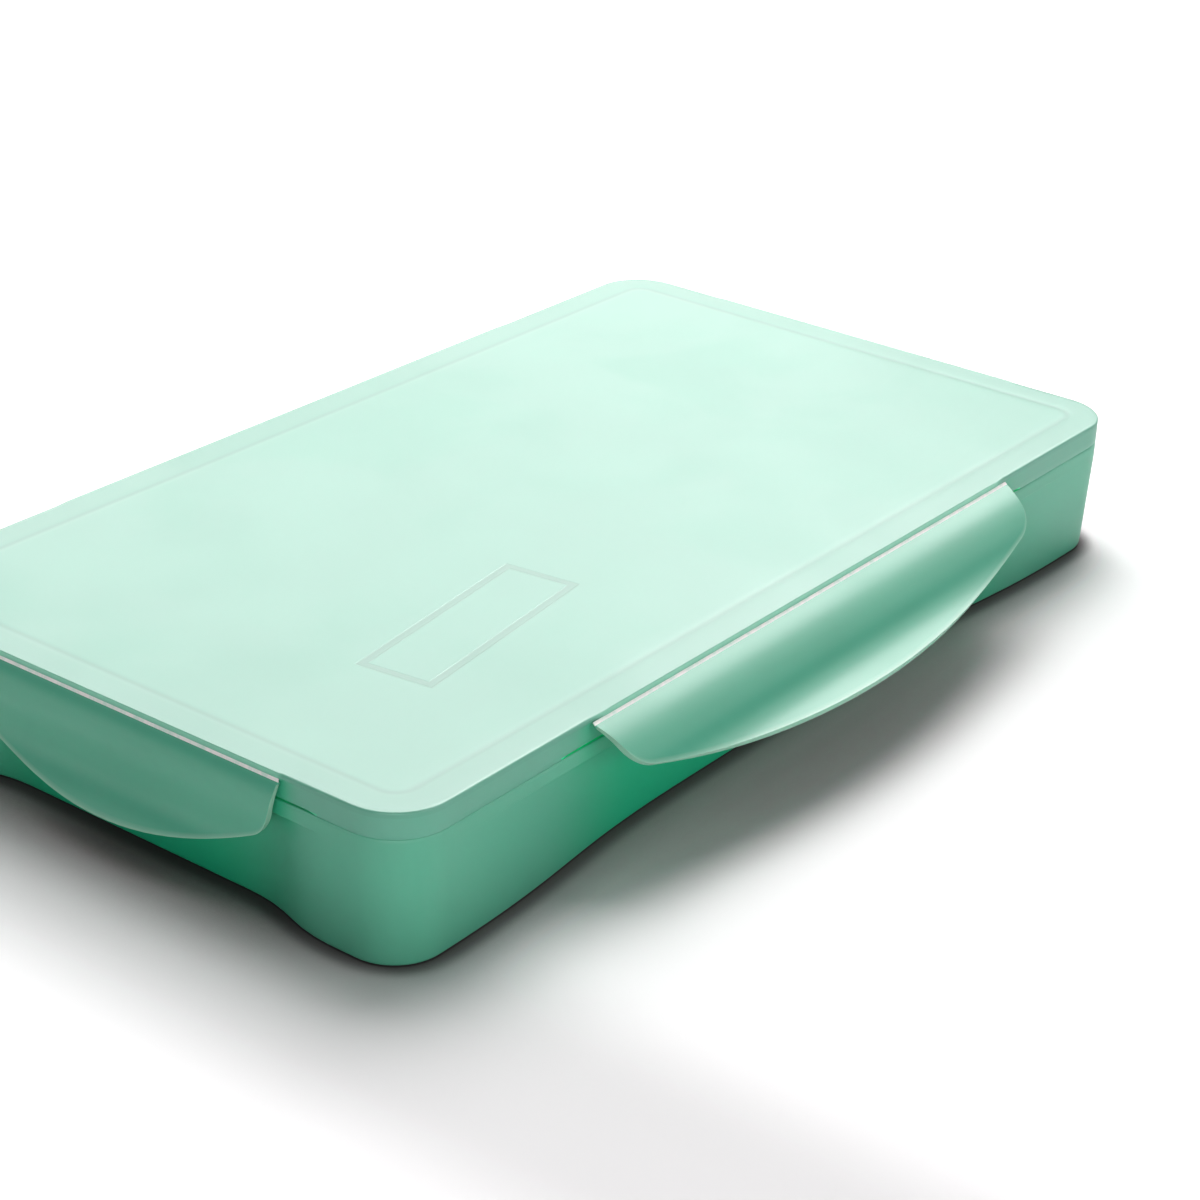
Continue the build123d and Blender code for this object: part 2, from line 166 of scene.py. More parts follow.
class PaintBoxContents(bpy.types.PropertyGroup):
    """Sizes of what lies inside."""

    columns: IntProperty(name="Columns", description="Cups along the box", default=6, min=1)
    rows: IntProperty(name="Rows", description="Cups across the box", default=3, min=1)
    pitch: length("Cup Pitch", PITCH, "Distance between cups")
    flange: length("Cup Flange", 45.4, "Outside size of a cup's flange")
    brim: length("Cup Brim", 1.9, "Width of a cup's flange")
    taper: length("Cup Taper", 2.2, "How far a cup narrows to its foot")
    cup_wall: length("Cup Wall", 1.0, "Thickness of a cup")
    cup_top: length("Cup Top", 26.5, "Height of the cups' flanges")
    foil: length("Foil", 0.2, "Thickness of a seal")
    well_corner: length("Well Corner", 2.5, "Rounding of the palette's wells")
    palette_wall: length("Palette Wall", 1.4, "Thickness of the palette's walls")
    palette_low: length("Palette Foot", 27.2, "Height of the palette's underside")
    palette_high: length("Palette Top", 35.4, "Height of the palette's rim")
    small_well: length("Small Well", 40, "Width of the row of small wells")
    channel: length("Brush Channel", 26, "Width of the brush channel")


class PaintBoxColours(bpy.types.PropertyGroup):
    """Colours of the pieces, in linear light."""

    mint: tint("Mint", 0.095, 0.39, 0.26, "Mint plastic of the tray and the flaps")
    # Painted sheen: the lid's mint is a little paler and greyer than the tray's, standing in for
    # the sheen on its top.
    lid: tint("Lid", 0.12, 0.375, 0.27, "Mint plastic of the lid, a little milkier")
    web: tint("Hinge", 0.86, 0.82, 0.80, "Whitened plastic at the living hinges")
    cup: tint("Cup", 0.80, 0.83, 0.83, "Milky plastic of the cups")
    foil: tint("Foil", 0.82, 0.82, 0.83, "Heat-sealed foil")
    palette: tint("Palette", 0.83, 0.83, 0.81, "Plastic of the palette")
    wood: tint("Handle", 0.56, 0.37, 0.19, "Lacquered wood of the handles")
    ferrule: tint("Ferrule", 0.80, 0.79, 0.77, "Metal of the ferrules")
    bristle: tint("Bristle", 0.38, 0.17, 0.06, "Nylon of the bristles")
    floor: tint("Floor", 0.93, 0.93, 0.93, "Table under the box")


class PaintBoxStage(bpy.types.PropertyGroup):
    """The camera and the lamps."""

    focal: number("Focal Length", 85.5, "Lens", unit="CAMERA")
    azimuth: degrees("Azimuth", -53.424, "Direction of the camera round the box")
    elevation: degrees("Elevation", 25.831, "Height of the camera above the table")
    roll: degrees("Roll", -2.264, "Tilt of the camera about its own axis")
    place: FloatVectorProperty(
        name="Place", description="Where the camera stands", subtype="TRANSLATION",
        unit="LENGTH", default=(-0.524706, -0.409201, 0.330014),
    )
    key: watts("Key", 19.0, "Main lamp")
    top: watts("Top", 3.1, "Lamp overhead")
    rear: watts("Rear", 4.4, "Lamp behind the box")
    near: watts("Near", 6.1, "Card by the camera")
    side: watts("Side", 5.5, "Card in front of the box")
    sheen: watts("Sheen", 40.0, "Lamps seen only in the gloss")
    sky: number("Sky", 0.0, "Brightness of the room", min=0, max=1)
    gain: number("Table Gain", 1.08, "Whiteness of the table")
    glow: number("Table Glow", 1.0, "Whiteness far from the box", min=0, max=1)


class PaintBoxSettings(bpy.types.PropertyGroup):
    """Everything that can be changed on the paint box."""

    case: PointerProperty(type=PaintBoxCase)
    lid: PointerProperty(type=PaintBoxLid)
    flaps: PointerProperty(type=PaintBoxFlaps)
    contents: PointerProperty(type=PaintBoxContents)
    colours: PointerProperty(type=PaintBoxColours)
    stage: PointerProperty(type=PaintBoxStage)


# ---- mesh tools


def corner_angles(side, steps):
    """Angles round the corner that follows a side."""
    return [math.radians(90 * side - 90 + 90 * i / steps) for i in range(steps)]


def corner_point(side, reach, radius, angle):
    """A point round the corner that follows a side."""
    x, y = CORNERS[side]
    turn = Vector((math.cos(angle), math.sin(angle), 0)) * radius
    return Vector((x * reach[0], y * reach[1], 0)) + turn


class Outline:
    """Places round a rounded rectangle, anticlockwise from above, that rings are made from."""

    def __init__(self, size, radius, marks=((), ())):
        self.half = (size[0] / 2, size[1] / 2)
        self.radius = radius
        self.places = []
        for side in range(4):
            reach = self.half[side % 2] - radius
            count = round(2 * reach / (4 * MM))
            stops = {round(s, 7) for s in np.linspace(-reach, reach, count + 1)}
            for mark in marks[side % 2]:
                stops = {s for s in stops if abs(abs(s) - mark) > 0.9 * MM}
                stops |= {round(mark, 7), round(-mark, 7)}
            self.places += [(side, along, None) for along in sorted(stops)]
            self.places += [(side, None, angle) for angle in corner_angles(side, 12)[1:]]

    def point(self, place, inset, z, hollow=0.0):
        """The point of one place, set in from the outline and hollowed on a straight side."""
        side, along, angle = place
        radius = max(self.radius - inset, 0.6 * MM)
        reach = [half - inset - radius for half in self.half]
        if along is None:
            return corner_point(side, reach, radius, angle) + UP * z
        stretch = reach[side % 2] / (self.half[side % 2] - self.radius)
        outward = self.half[(side + 1) % 2] - inset - hollow
        return ALONG[side] * along * stretch + OUT[side] * outward + UP * z


def rounded_ring(half_x, half_y, radius, z, centre=(0, 0), corner_steps=6, side_steps=2):
    """Points of a rounded rectangle at height z."""
    points = []
    half, reach = (half_x, half_y), (half_x - radius, half_y - radius)
    for side in range(4):
        across = OUT[side] * half[(side + 1) % 2]
        for i in range(side_steps):
            points.append(ALONG[side] * reach[side % 2] * (2 * i / side_steps - 1) + across)
        turns = corner_angles(side, corner_steps)
        points += [corner_point(side, reach, radius, angle) for angle in turns]
    shift = Vector((*centre, z))
    return [point + shift for point in points]


def add_row(bm, points):
    """A row of new vertices."""
    return [bm.verts.new(point) for point in points]


def skin(bm, rows, ring=True, caps=()):
    """Faces between rows of vertices that run side by side, and over the rows that are capped."""
    for low, high in zip(rows, rows[1:]):
        count = len(low)
        for i in range(count if ring else count - 1):
            j = (i + 1) % count
            bm.faces.new((low[i], low[j], high[j], high[i]))
    for cap in caps:
        bm.faces.new(rows[cap])


def finish_mesh(bm, name, sharp=38.0):
    """An object from a bmesh, with doubled points merged and only true corners left sharp."""
    bmesh.ops.remove_doubles(bm, verts=bm.verts, dist=2e-6)
    bmesh.ops.dissolve_degenerate(bm, edges=bm.edges, dist=1e-6)
    bmesh.ops.recalc_face_normals(bm, faces=bm.faces)
    mesh = bpy.data.meshes.new(name)
    bm.to_mesh(mesh)
    bm.free()
    mesh.shade_smooth()
    mesh.set_sharp_from_angle(angle=math.radians(sharp))
    piece = bpy.data.objects.new(name, mesh)
    bpy.context.scene.collection.objects.link(piece)
    return piece


def make_solid(name, rows, sharp=38.0, caps=(0, -1)):
    """A piece skinned over rows of points."""
    bm = bmesh.new()
    skin(bm, [add_row(bm, row) for row in rows], caps=caps)
    return finish_mesh(bm, name, sharp)


def lathe(name, profile, origin, sharp, steps=32):
    """A turned piece along X, from (distance, radius) pairs in millimetres."""
    turns = [2 * math.pi * i / steps for i in range(steps)]
    rows = []
    for x, radius in profile:
        ring = [Vector((x, radius * math.cos(a), radius * math.sin(a))) for a in turns]
        rows.append([origin + point * MM for point in ring])
    return make_solid(name, rows, sharp, caps=())


def place_piece(piece, material, body, node):
    """Dress a piece, hand it to its body if it has one, and hide the node that it stands for."""
    piece.data.materials.append(material)
    if body:
        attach(piece, body)
    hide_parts(node)


def smooth_line(points, start, end, count):
    """Points on a smooth curve through a few, that leaves and arrives in given directions."""
    points = np.array(points, float)
    gaps = np.linalg.norm(np.diff(points, axis=0), axis=1)
    size = len(points)
    matrix, wanted = np.eye(size), np.zeros(points.shape)
    wanted[0] = np.array(start) / np.linalg.norm(start)
    wanted[-1] = np.array(end) / np.linalg.norm(end)
    for i in range(1, size - 1):
        before, after = gaps[i - 1], gaps[i]
        matrix[i, i - 1 : i + 2] = after, 2 * (before + after), before
        rise = (points[i] - points[i - 1]) / before * after
        wanted[i] = 3 * (rise + (points[i + 1] - points[i]) / after * before)
    slopes = np.linalg.solve(matrix, wanted)
    line = []
    for i in range(size - 1):
        for t in np.linspace(0, 1, count, endpoint=i == size - 2):
            ease = 3 * t**2 - 2 * t**3
            bend = (t**3 - 2 * t**2 + t) * slopes[i] + (t**3 - t**2) * slopes[i + 1]
            line.append((1 - ease) * points[i] + ease * points[i + 1] + gaps[i] * bend)
    return np.array(line)


# ---- shader tools


def rgba(colour, gain=1.0):
    """A colour with its alpha, scaled."""
    return (*[min(1.0, channel * gain) for channel in colour], 1.0)


class Bench:
    """Adds and joins the nodes of one shader tree."""

    def __init__(self, tree):
        self.tree = tree
        tree.nodes.clear()

    def add(self, kind, inputs=None, **settings):
        """A node with its settings and inputs; an input is a value or another node's output."""
        node = self.tree.nodes.new(kind)
        for name, value in settings.items():
            setattr(node, name, value)
        for name, value in (inputs or {}).items():
            if isinstance(value, bpy.types.NodeSocket):
                self.tree.links.new(value, node.inputs[name])
            else:
                node.inputs[name].default_value = value
        return node

    def math(self, operation, first, second=0.0, third=0.0):
        """The output of one Math node."""
        inputs = {0: first, 1: second, 2: third}
        return self.add("ShaderNodeMath", inputs, operation=operation).outputs[0]

    def times(self, first, second):
        """The product of two numbers."""
        return self.math("MULTIPLY", first, second)

    def raised(self, start, mask, amount):
        """A number raised by a share of a mask."""
        return self.math("MULTIPLY_ADD", mask, amount, start)

    def mix(self, factor, first, second):
        """The output of a colour mix."""
        inputs = {0: factor, 6: first, 7: second}
        return self.add("ShaderNodeMix", inputs, data_type="RGBA").outputs[2]

    def lay(self, base, mask, amount, colour):
        """A colour laid over another by a share of a mask."""
        return self.mix(self.times(mask, amount), base, colour)

    def remap(self, value, low, high, to_low=0.0, to_high=1.0):
        """A smooth step of value between two limits."""
        limits = {"From Min": low, "From Max": high, "To Min": to_low, "To Max": to_high}
        inputs = {"Value": value, **limits}
        node = self.add("ShaderNodeMapRange", inputs, interpolation_type="SMOOTHSTEP")
        return node.outputs["Result"]

    def noise(self, where, scale, detail, **more):
        """The output of a Noise Texture."""
        inputs = {"Vector": where, "Scale": scale, "Detail": detail, **more}
        return self.add("ShaderNodeTexNoise", inputs).outputs[0]

    def axes(self, where):
        """The X, Y and Z of a place."""
        return self.add("ShaderNodeSeparateXYZ", {"Vector": where}).outputs

    def mirrored_axes(self, where):
        """The X, Y and Z of a place, alike on both sides of the box."""
        x, y, z = self.axes(where)
        return self.math("ABSOLUTE", x), self.math("ABSOLUTE", y), z

    def scaled(self, vector, factor):
        """A vector or colour times a number."""
        inputs = {0: vector, 3: factor}
        return self.add("ShaderNodeVectorMath", inputs, operation="SCALE").outputs[0]


SURFACE_INPUTS = {
    "Grain Size": 0.0004,
    "Wave Size": 0.03,
    "Wave Share": 0.5,
    "Speck Spacing": 0.02,
    "Scuff Spacing": 0.012,
}
SURFACE_OUTPUTS = ("Height", "Tone", "Specks", "Scuffs", "Smudges")


def moulded_surface():
    """Grain and slow waves of a moulded wall, with masks of its specks, scuffs and smudges."""
    if "Moulded Surface" in bpy.data.node_groups:
        return bpy.data.node_groups["Moulded Surface"]
    group = bpy.data.node_groups.new("Moulded Surface", "ShaderNodeTree")
    new_socket = group.interface.new_socket
    new_socket("Vector", in_out="INPUT", socket_type="NodeSocketVector")
    for name, value in SURFACE_INPUTS.items():
        new_socket(name, in_out="INPUT", socket_type="NodeSocketFloat").default_value = value
    for name in SURFACE_OUTPUTS:
        new_socket(name, in_out="OUTPUT", socket_type="NodeSocketFloat")
    bench = Bench(group)
    given = bench.add("NodeGroupInput").outputs
    where = given["Vector"]

    def rate(name):
        return bench.math("DIVIDE", 1.0, given[name])

    fine = bench.noise(where, rate("Grain Size"), 2.0, Roughness=0.55)
    slow = bench.noise(where, rate("Wave Size"), 1.5, Roughness=0.4)
    cells = bench.add("ShaderNodeTexVoronoi", {"Vector": where, "Scale": rate("Speck Spacing")})
    ragged = bench.raised(cells.outputs["Distance"], bench.noise(where, 900.0, 1.0), 0.015)
    chance = bench.add("ShaderNodeSeparateColor", {"Color": cells.outputs["Color"]}).outputs[0]
    some = bench.math("GREATER_THAN", chance, 0.62)
    inputs = {"Vector": where, "Rotation": (0.3, 0.2, 0.7), "Scale": (1.0, 14.0, 9.0)}
    turned = bench.add("ShaderNodeMapping", inputs).outputs[0]
    lines = bench.noise(turned, rate("Scuff Spacing"), 3.0, Roughness=0.7)
    patch = bench.remap(bench.noise(where, 24.0, 1.0), 0.5, 0.62)
    smear = bench.noise(where, 20.0, 3.0, Distortion=0.6)
    results = {
        "Height": bench.raised(fine, slow, given["Wave Share"]),
        "Tone": bench.remap(slow, 0.3, 0.7),
        "Specks": bench.times(bench.remap(ragged, 0.032, 0.02), some),
        "Scuffs": bench.times(bench.remap(lines, 0.66, 0.74), patch),
        "Smudges": bench.remap(smear, 0.42, 0.68),
    }
    bench.add("NodeGroupOutput", results)
    return group


class Finish(Bench):
    """The bench of a new material, with the object coordinates of its points."""

    def __init__(self, name):
        self.material = bpy.data.materials.new(name)
        self.material.use_nodes = True
        super().__init__(self.material.node_tree)
        self.where = self.add("ShaderNodeTexCoord").outputs["Object"]
        self.x, self.y, self.z = self.axes(self.where)

    def stretched(self, scale, *noise, **more):
        """A Noise Texture over places that are stretched along the axes."""
        where = self.add("ShaderNodeMapping", {"Vector": self.where, "Scale": scale}).outputs[0]
        return self.noise(where, *noise, **more)

    def painted(self, name):
        """A number kept at the points of the mesh."""
        return self.add("ShaderNodeAttribute", attribute_name=name).outputs["Fac"]

    def surface(self, *sizes):
        """The Moulded Surface group, with its sizes in the order of its inputs."""
        inputs = {"Vector": self.where, **dict(zip(SURFACE_INPUTS, sizes))}
        return self.add("ShaderNodeGroup", inputs, node_tree=moulded_surface()).outputs

    def apply(self, base, rough, height=None, depth=0.0, **more):
        """The material with its shader; a bump's depth is in millimetres."""
        inputs = {name.replace("_", " "): value for name, value in more.items()}
        if height is not None:
            bump = {"Height": height, "Distance": depth * MM, "Strength": 1.0}
            inputs["Normal"] = self.add("ShaderNodeBump", bump).outputs[0]
        inputs.update({"Base Color": base, "Roughness": rough})
        shader = self.add("ShaderNodeBsdfPrincipled", inputs)
        self.add("ShaderNodeOutputMaterial", {"Surface": shader.outputs[0]})
        return self.material


# ---- materials


def mint_plastic(name, colour, roughness, framed=False, bays=True):
    """Satin polypropylene: fine grain, specks and faint scuffs, with painted light: paler along
    its rims, painted shade in folds, towards the foot and on the lid's sink line, painted bounce
    light under the flaps and a painted glow in the relief slots.
    """
    bench = Finish(name)
    surface = bench.surface(0.00035, 0.035, 0.15)
    base = bench.mix(surface["Tone"], rgba(colour, 0.975), rgba(colour, 1.02))
    if bays:
        # Painted shade: the walls darken towards the foot.
        base = bench.lay(base, bench.remap(bench.z, 24 * MM, 0.0), 0.42, rgba(colour, 0.55))
        # Painted bounce light: deep saturated mint on the walls under the flaps.
        base = bench.mix(painted_bounce_mask(bench), base, PAINTED_BOUNCE)
        # Painted glow: bright mint in the narrow relief slots.
        base = bench.mix(slot_glow_mask(bench), base, SLOT_GLOW)
    else:
        # Painted shade in the folds of a flap.
        base = bench.mix(bench.painted("painted_shade"), base, FOLD_SHADE)
    # Painted light: paler along a flap's rim and ends, and on the lid's hinge strips.
    base = bench.lay(base, bench.painted("rim"), 0.42, HINGE_STRIP_LIGHT if framed else FLAP_RIM_HIGHLIGHT)
    base = bench.lay(base, surface["Scuffs"], 0.08, SCUFFED)
    base = bench.lay(base, surface["Specks"], 0.55, rgba(colour, 0.35))
    height = surface["Height"]
    if framed:
        # Painted shade along the lid's sink line and over the band out to its edge.
        base = bench.mix(bench.painted("painted_shade"), base, rgba(colour, 0.6))
        line = plain_frame(bench)
        base = bench.lay(base, line, 0.55, rgba(colour, 0.55))
        height = bench.raised(height, line, -6.0)
    rough = bench.raised(roughness, surface["Smudges"], 0.05)
    rough = bench.raised(rough, surface["Scuffs"], 0.12)
    return bench.apply(
        base, rough, height, 0.008, IOR=1.49, Subsurface_Weight=0.2,
        Subsurface_Radius=(0.3, 1.0, 0.75), Subsurface_Scale=1.8 * MM,
    )


def painted_bounce_mask(bench):
    """A mask of the walls that are tucked away under the flaps, where bounce light is painted in.
    """
    x, y, z = bench.mirrored_axes(bench.where)
    high = bench.remap(z, 15 * MM, 30 * MM)
    masks = []
    for along, across, ends, middle, wall in (
        (x, y, (96, 87), (106, 62), 62),
        (y, x, (57, 50), (62, 22), 118),
    ):
        upper = bench.remap(along, ends[0] * MM, ends[1] * MM)
        upper = bench.times(bench.times(upper, 0.75), high)
        mask = bench.math("MAXIMUM", upper, bench.remap(along, middle[0] * MM, middle[1] * MM))
        masks.append(bench.times(mask, bench.math("GREATER_THAN", across, wall * MM)))
    below = bench.math("LESS_THAN", z, 36.9 * MM)
    return bench.times(bench.math("MAXIMUM", *masks), below)


def slot_glow_mask(bench):
    """A mask of the narrow slots between the skirt and the tray beside each flap, where a bright
    glow is painted in.
    """
    x, y, z = bench.mirrored_axes(bench.where)
    masks = []
    for along, across, middle, reach, wall, weight in (
        (x, y, 89, 9.1, 75, 1.0),
        (y, x, 52, 8.7, 125, 0.4),
    ):
        slot = bench.math("COMPARE", along, middle * MM, reach * MM)
        beyond = bench.math("GREATER_THAN", across, wall * MM)
        masks.append(bench.times(slot, bench.times(beyond, weight)))
    level = bench.math("COMPARE", z, 31.87 * MM, 0.29 * MM)
    return bench.times(bench.math("MAXIMUM", *masks), level)


def plain_frame(bench):
    """A mask of the plain rectangular line that is lightly pressed into the lid."""
    moved = bench.add("ShaderNodeVectorMath", {0: bench.where, 1: (0.0697, 0.0348, 0.0)})
    inputs = {"Vector": moved.outputs[0], "Angle": math.radians(-7.4)}
    spun = bench.add("ShaderNodeVectorRotate", inputs, rotation_type="Z_AXIS")
    x, y, z = bench.mirrored_axes(spun.outputs[0])
    across = bench.math("SUBTRACT", x, 31.0 * MM)
    up = bench.math("SUBTRACT", y, 9.2 * MM)
    edge = bench.math("ABSOLUTE", bench.math("MAXIMUM", across, up))
    on_top = bench.math("GREATER_THAN", z, 37.7 * MM)
    return bench.times(bench.remap(edge, 1.2 * MM, 0.95 * MM), on_top)


def hinge_plastic(colour):
    """Living hinge, whitened where it has bent."""
    bench = Finish("hinge_web_plastic")
    noise = bench.stretched((1.0, 1.0, 0.2), 420.0, 3.0, Roughness=0.6)
    base = bench.mix(bench.remap(noise, 0.35, 0.7), rgba(colour), (0.60, 0.76, 0.68, 1.0))
    return bench.apply(
        base, 0.42, noise, 0.03, IOR=1.49, Subsurface_Weight=0.2,
        Subsurface_Radius=(1.0, 1.0, 1.0), Subsurface_Scale=0.5 * MM,
    )


def palette_plastic(colour):
    """Glossy white polystyrene with faint paint stains and knife-fine scratches."""
    bench = Finish("palette_plastic")
    surface = bench.surface(0.0012, 0.05, 1.5, 0.03, 0.008)
    base = bench.mix(surface["Tone"], rgba(colour, 0.97), rgba(colour, 1.02))
    base = bench.lay(base, surface["Scuffs"], 0.2, rgba(colour, 0.72))
    base = bench.lay(base, surface["Specks"], 0.3, rgba(colour, 0.4))
    rough = bench.raised(0.2, surface["Smudges"], 0.09)
    rough = bench.raised(rough, surface["Scuffs"], 0.2)
    soft = {"Subsurface_Weight": 0.08, "Subsurface_Scale": 1.5 * MM}
    return bench.apply(base, rough, surface["Height"], 0.01, IOR=1.59, **soft)


def cup_plastic(colour, paints):
    """Milky polypropylene through which the paint inside shows."""
    bench = Finish("cup_plastic")
    surface = bench.surface(0.0009, 0.02, 1.0, 0.02, 0.01)
    filled = bench.remap(bench.z, 24.6 * MM, 23.8 * MM)
    base = bench.mix(surface["Tone"], rgba(colour, 0.96), rgba(colour, 1.02))
    base = bench.lay(base, filled, 0.55, paint_colours(bench, paints))
    base = bench.lay(base, surface["Scuffs"], 0.3, rgba(colour, 1.1))
    rough = bench.raised(0.26, surface["Smudges"], 0.1)
    soft = {"Subsurface_Weight": 0.15, "Subsurface_Scale": 1.2 * MM}
    return bench.apply(base, rough, surface["Height"], 0.01, **soft)


def seal_foil(colour):
    """Thin rolled aluminium, crinkled and pressed on to the flange."""
    bench = Finish("seal_foil")
    lines = bench.stretched((1.0, 30.0, 1.0), 160.0, 3.0)
    inputs = {"Vector": bench.where, "Scale": 190.0}
    creases = bench.add("ShaderNodeTexVoronoi", inputs, feature="DISTANCE_TO_EDGE")
    crease = bench.remap(creases.outputs["Distance"], 0.12, 0.0)
    base = bench.mix(lines, rgba(colour, 0.9), rgba(colour, 1.05))
    height = bench.raised(lines, crease, 1.6)
    return bench.apply(base, bench.raised(0.24, lines, 0.16), height, 0.04, Metallic=1.0)


def paint_colours(bench, paints):
    """The colour of the cup that a point lies in, stepped along X and from row to row."""
    colour, *others = [paint_ramp(bench, row) for row in paints]
    for index, step in enumerate(others):
        border = (index - 0.5) * PITCH * MM
        colour = bench.mix(bench.math("GREATER_THAN", bench.y, border), colour, step)
    return colour


def paint_ramp(bench, colours):
    """One row of paints as a stepped ramp along X."""
    width = PITCH * MM * len(colours)
    place = bench.math("DIVIDE", bench.math("ADD", bench.x, width / 2), width)
    ramp = bench.add("ShaderNodeValToRGB", {"Fac": place})
    ramp.color_ramp.interpolation = "CONSTANT"
    stops = ramp.color_ramp.elements
    while len(stops) < len(colours):
        stops.new(0.5)
    for index, colour in enumerate(colours):
        stops[index].position = index / len(colours)
        stops[index].color = rgba(colour)
    return ramp.outputs[0]


def moist_paint(name, colours):
    """Moist gouache in six cups, each with its own colour."""
    bench = Finish(name)
    swirl = bench.noise(bench.where, 130.0, 4.0, Distortion=1.2)
    tone = bench.remap(swirl, 0.35, 0.7)
    base = bench.lay(paint_ramp(bench, colours), tone, 0.14, WHITE)
    return bench.apply(base, bench.raised(0.3, tone, 0.2), swirl, 0.25)


def lacquered_wood(colour):
    """Straight-grained wood under clear lacquer, with a dipped end."""
    bench = Finish("brush_wood")
    way = (0.05, 1.0, 1.0)
    fine = bench.stretched(way, 1500.0, 4.0, Distortion=0.4)
    grain = bench.raised(bench.stretched(way, 320.0, 2.0), fine, 0.5)
    mask = bench.remap(grain, 0.5, 0.95)
    base = bench.mix(mask, rgba(colour, 1.12), rgba(colour, 0.62))
    base = bench.mix(bench.remap(bench.x, 54.0 * MM, 54.3 * MM), base, (0.16, 0.55, 0.38, 1.0))
    rough = bench.raised(0.3, mask, 0.1)
    return bench.apply(base, rough, grain, 0.02, Coat_Weight=0.6, Coat_Roughness=0.12)


def ferrule_metal(colour):
    """Polished drawn tube with turning marks."""
    bench = Finish("ferrule_metal")
    lines = bench.stretched((1.0, 0.1, 0.1), 2200.0, 2.0)
    base = bench.mix(lines, rgba(colour, 0.85), rgba(colour, 1.08))
    return bench.apply(base, bench.raised(0.16, lines, 0.14), lines, 0.01, Metallic=1.0)


def bristle_fibre(colour):
    """Nylon fibres, darker at the ferrule and paler at their tips."""
    bench = Finish("bristle_fibre")
    noise = bench.stretched((0.04, 1.0, 1.0), 5200.0, 2.0)
    fibre = bench.remap(noise, 0.35, 0.65)
    tip = bench.remap(bench.x, -82.0 * MM, -91.0 * MM)
    base = bench.mix(fibre, rgba(colour, 0.6), rgba(colour, 1.35))
    base = bench.lay(base, tip, 0.55, (0.62, 0.38, 0.18, 1.0))
    return bench.apply(base, bench.raised(0.34, fibre, 0.15), noise, 0.05)


PAINTS = {
    "front": ("paint_warm", (
        (0.86, 0.86, 0.82), (0.85, 0.62, 0.04), (0.86, 0.33, 0.03),
        (0.62, 0.04, 0.03), (0.52, 0.02, 0.12), (0.62, 0.16, 0.26),
    )),
    "middle": ("paint_cool", (
        (0.05, 0.30, 0.08), (0.02, 0.12, 0.07), (0.03, 0.30, 0.33),
        (0.03, 0.22, 0.62), (0.01, 0.04, 0.30), (0.14, 0.04, 0.30),
    )),
    "back": ("paint_neutral", (
        (0.55, 0.33, 0.08), (0.36, 0.12, 0.04), (0.14, 0.06, 0.03),
        (0.30, 0.28, 0.26), (0.08, 0.08, 0.09), (0.012, 0.012, 0.013),
    )),
}


# ---- the case


def hollow_share(along, start, flat):
    """How much of a finger bay's depth a point of a side has, on the bay's S-shaped ends."""
    place = abs(along)
    if place <= flat:
        return 1.0
    if place >= start:
        return 0.0
    low, high = 0.0, 1.0
    middle = (start + flat) / 2
    for _ in range(30):
        t = (low + high) / 2
        x = flat * (1 - t) ** 3 + 3 * middle * t * (1 - t) + start * t**3
        low, high = (t, high) if x < place else (low, t)
    return 1 - 3 * t**2 + 2 * t**3


def case_rings(case, lid):
    """Rings of the tray: foot, wall, lip, band, rim, shelf, inner wall and floor."""
    rim = case.height - lid.skirt
    band_low = rim - case.band
    shelf = band_low + case.wall
    outline = Outline((case.length, case.width), case.corner)
    bays = ((case.long_start, case.long_flat), (case.short_start, case.short_flat))
    shares = [
        0.0 if along is None else hollow_share(along, *bays[side % 2])
        for side, along, _ in outline.places
    ]

    def ring(inset, z, bay=0.0, lip_in=0.0, lip_up=0.0):
        points = []
        for place, part in zip(outline.places, shares):
            lip = min(1.0, part * case.bay / (0.5 * MM)) * 0.28 * MM
            hollow = part * bay * case.bay
            points.append(outline.point(place, inset + lip * lip_in, z + lip * lip_up, hollow))
        return points

    def wall_ring(inset, z):
        return ring(inset + case.draft * (1 - z / band_low), z, 1.0)

    rings = []
    for angle in np.linspace(0, math.pi / 2, 7):
        inset = case.draft + case.foot * (1 - math.sin(angle))
        rings.append(ring(inset, case.foot * (1 - math.cos(angle)), 1.0))
    rings += [wall_ring(0, z) for z in np.linspace(case.foot, band_low, 12)[1:]]
    rings += [ring(0, band_low, lip_in=1.0), ring(0, band_low, lip_up=1.0)]
    rings += [ring(0, z) for z in (band_low + 1.2 * MM, rim - 1.2 * MM, rim - 0.24 * MM)]
    rings += [ring(0.08 * MM, rim - 0.08 * MM), ring(0.24 * MM, rim)]
    rings += [ring(case.wall - 0.2 * MM, rim), ring(case.wall, rim - 0.2 * MM)]
    rings += [ring(case.wall, shelf), ring(case.wall, shelf, 1.0)]
    cove = 1.5 * MM
    rings += [wall_ring(case.wall, z) for z in np.linspace(shelf, case.floor + cove, 8)[1:]]
    for angle in np.linspace(0, math.pi / 2, 5)[1:]:
        inset = case.wall + case.draft + cove * (1 - math.cos(angle))
        rings.append(ring(inset, case.floor + cove * (1 - math.sin(angle)), 1.0))
    return rings


class PAINTBOX_OT_case(bpy.types.Operator):
    """Make the tray, with a finger bay in each side and a plain rim band"""

    bl_idname = "paintbox.case"
    bl_label = "Case"

    def execute(self, context):
        """Skin rings of the case's outline from the foot, over the rim, to the floor inside."""
        settings = context.scene.paintbox
        piece = make_solid("paint_case", case_rings(settings.case, settings.lid))
        material = mint_plastic("case_plastic", settings.colours.mint, 0.36)
        place_piece(piece, material, "tray", "case_base")
        return {"FINISHED"}


# ---- the lid


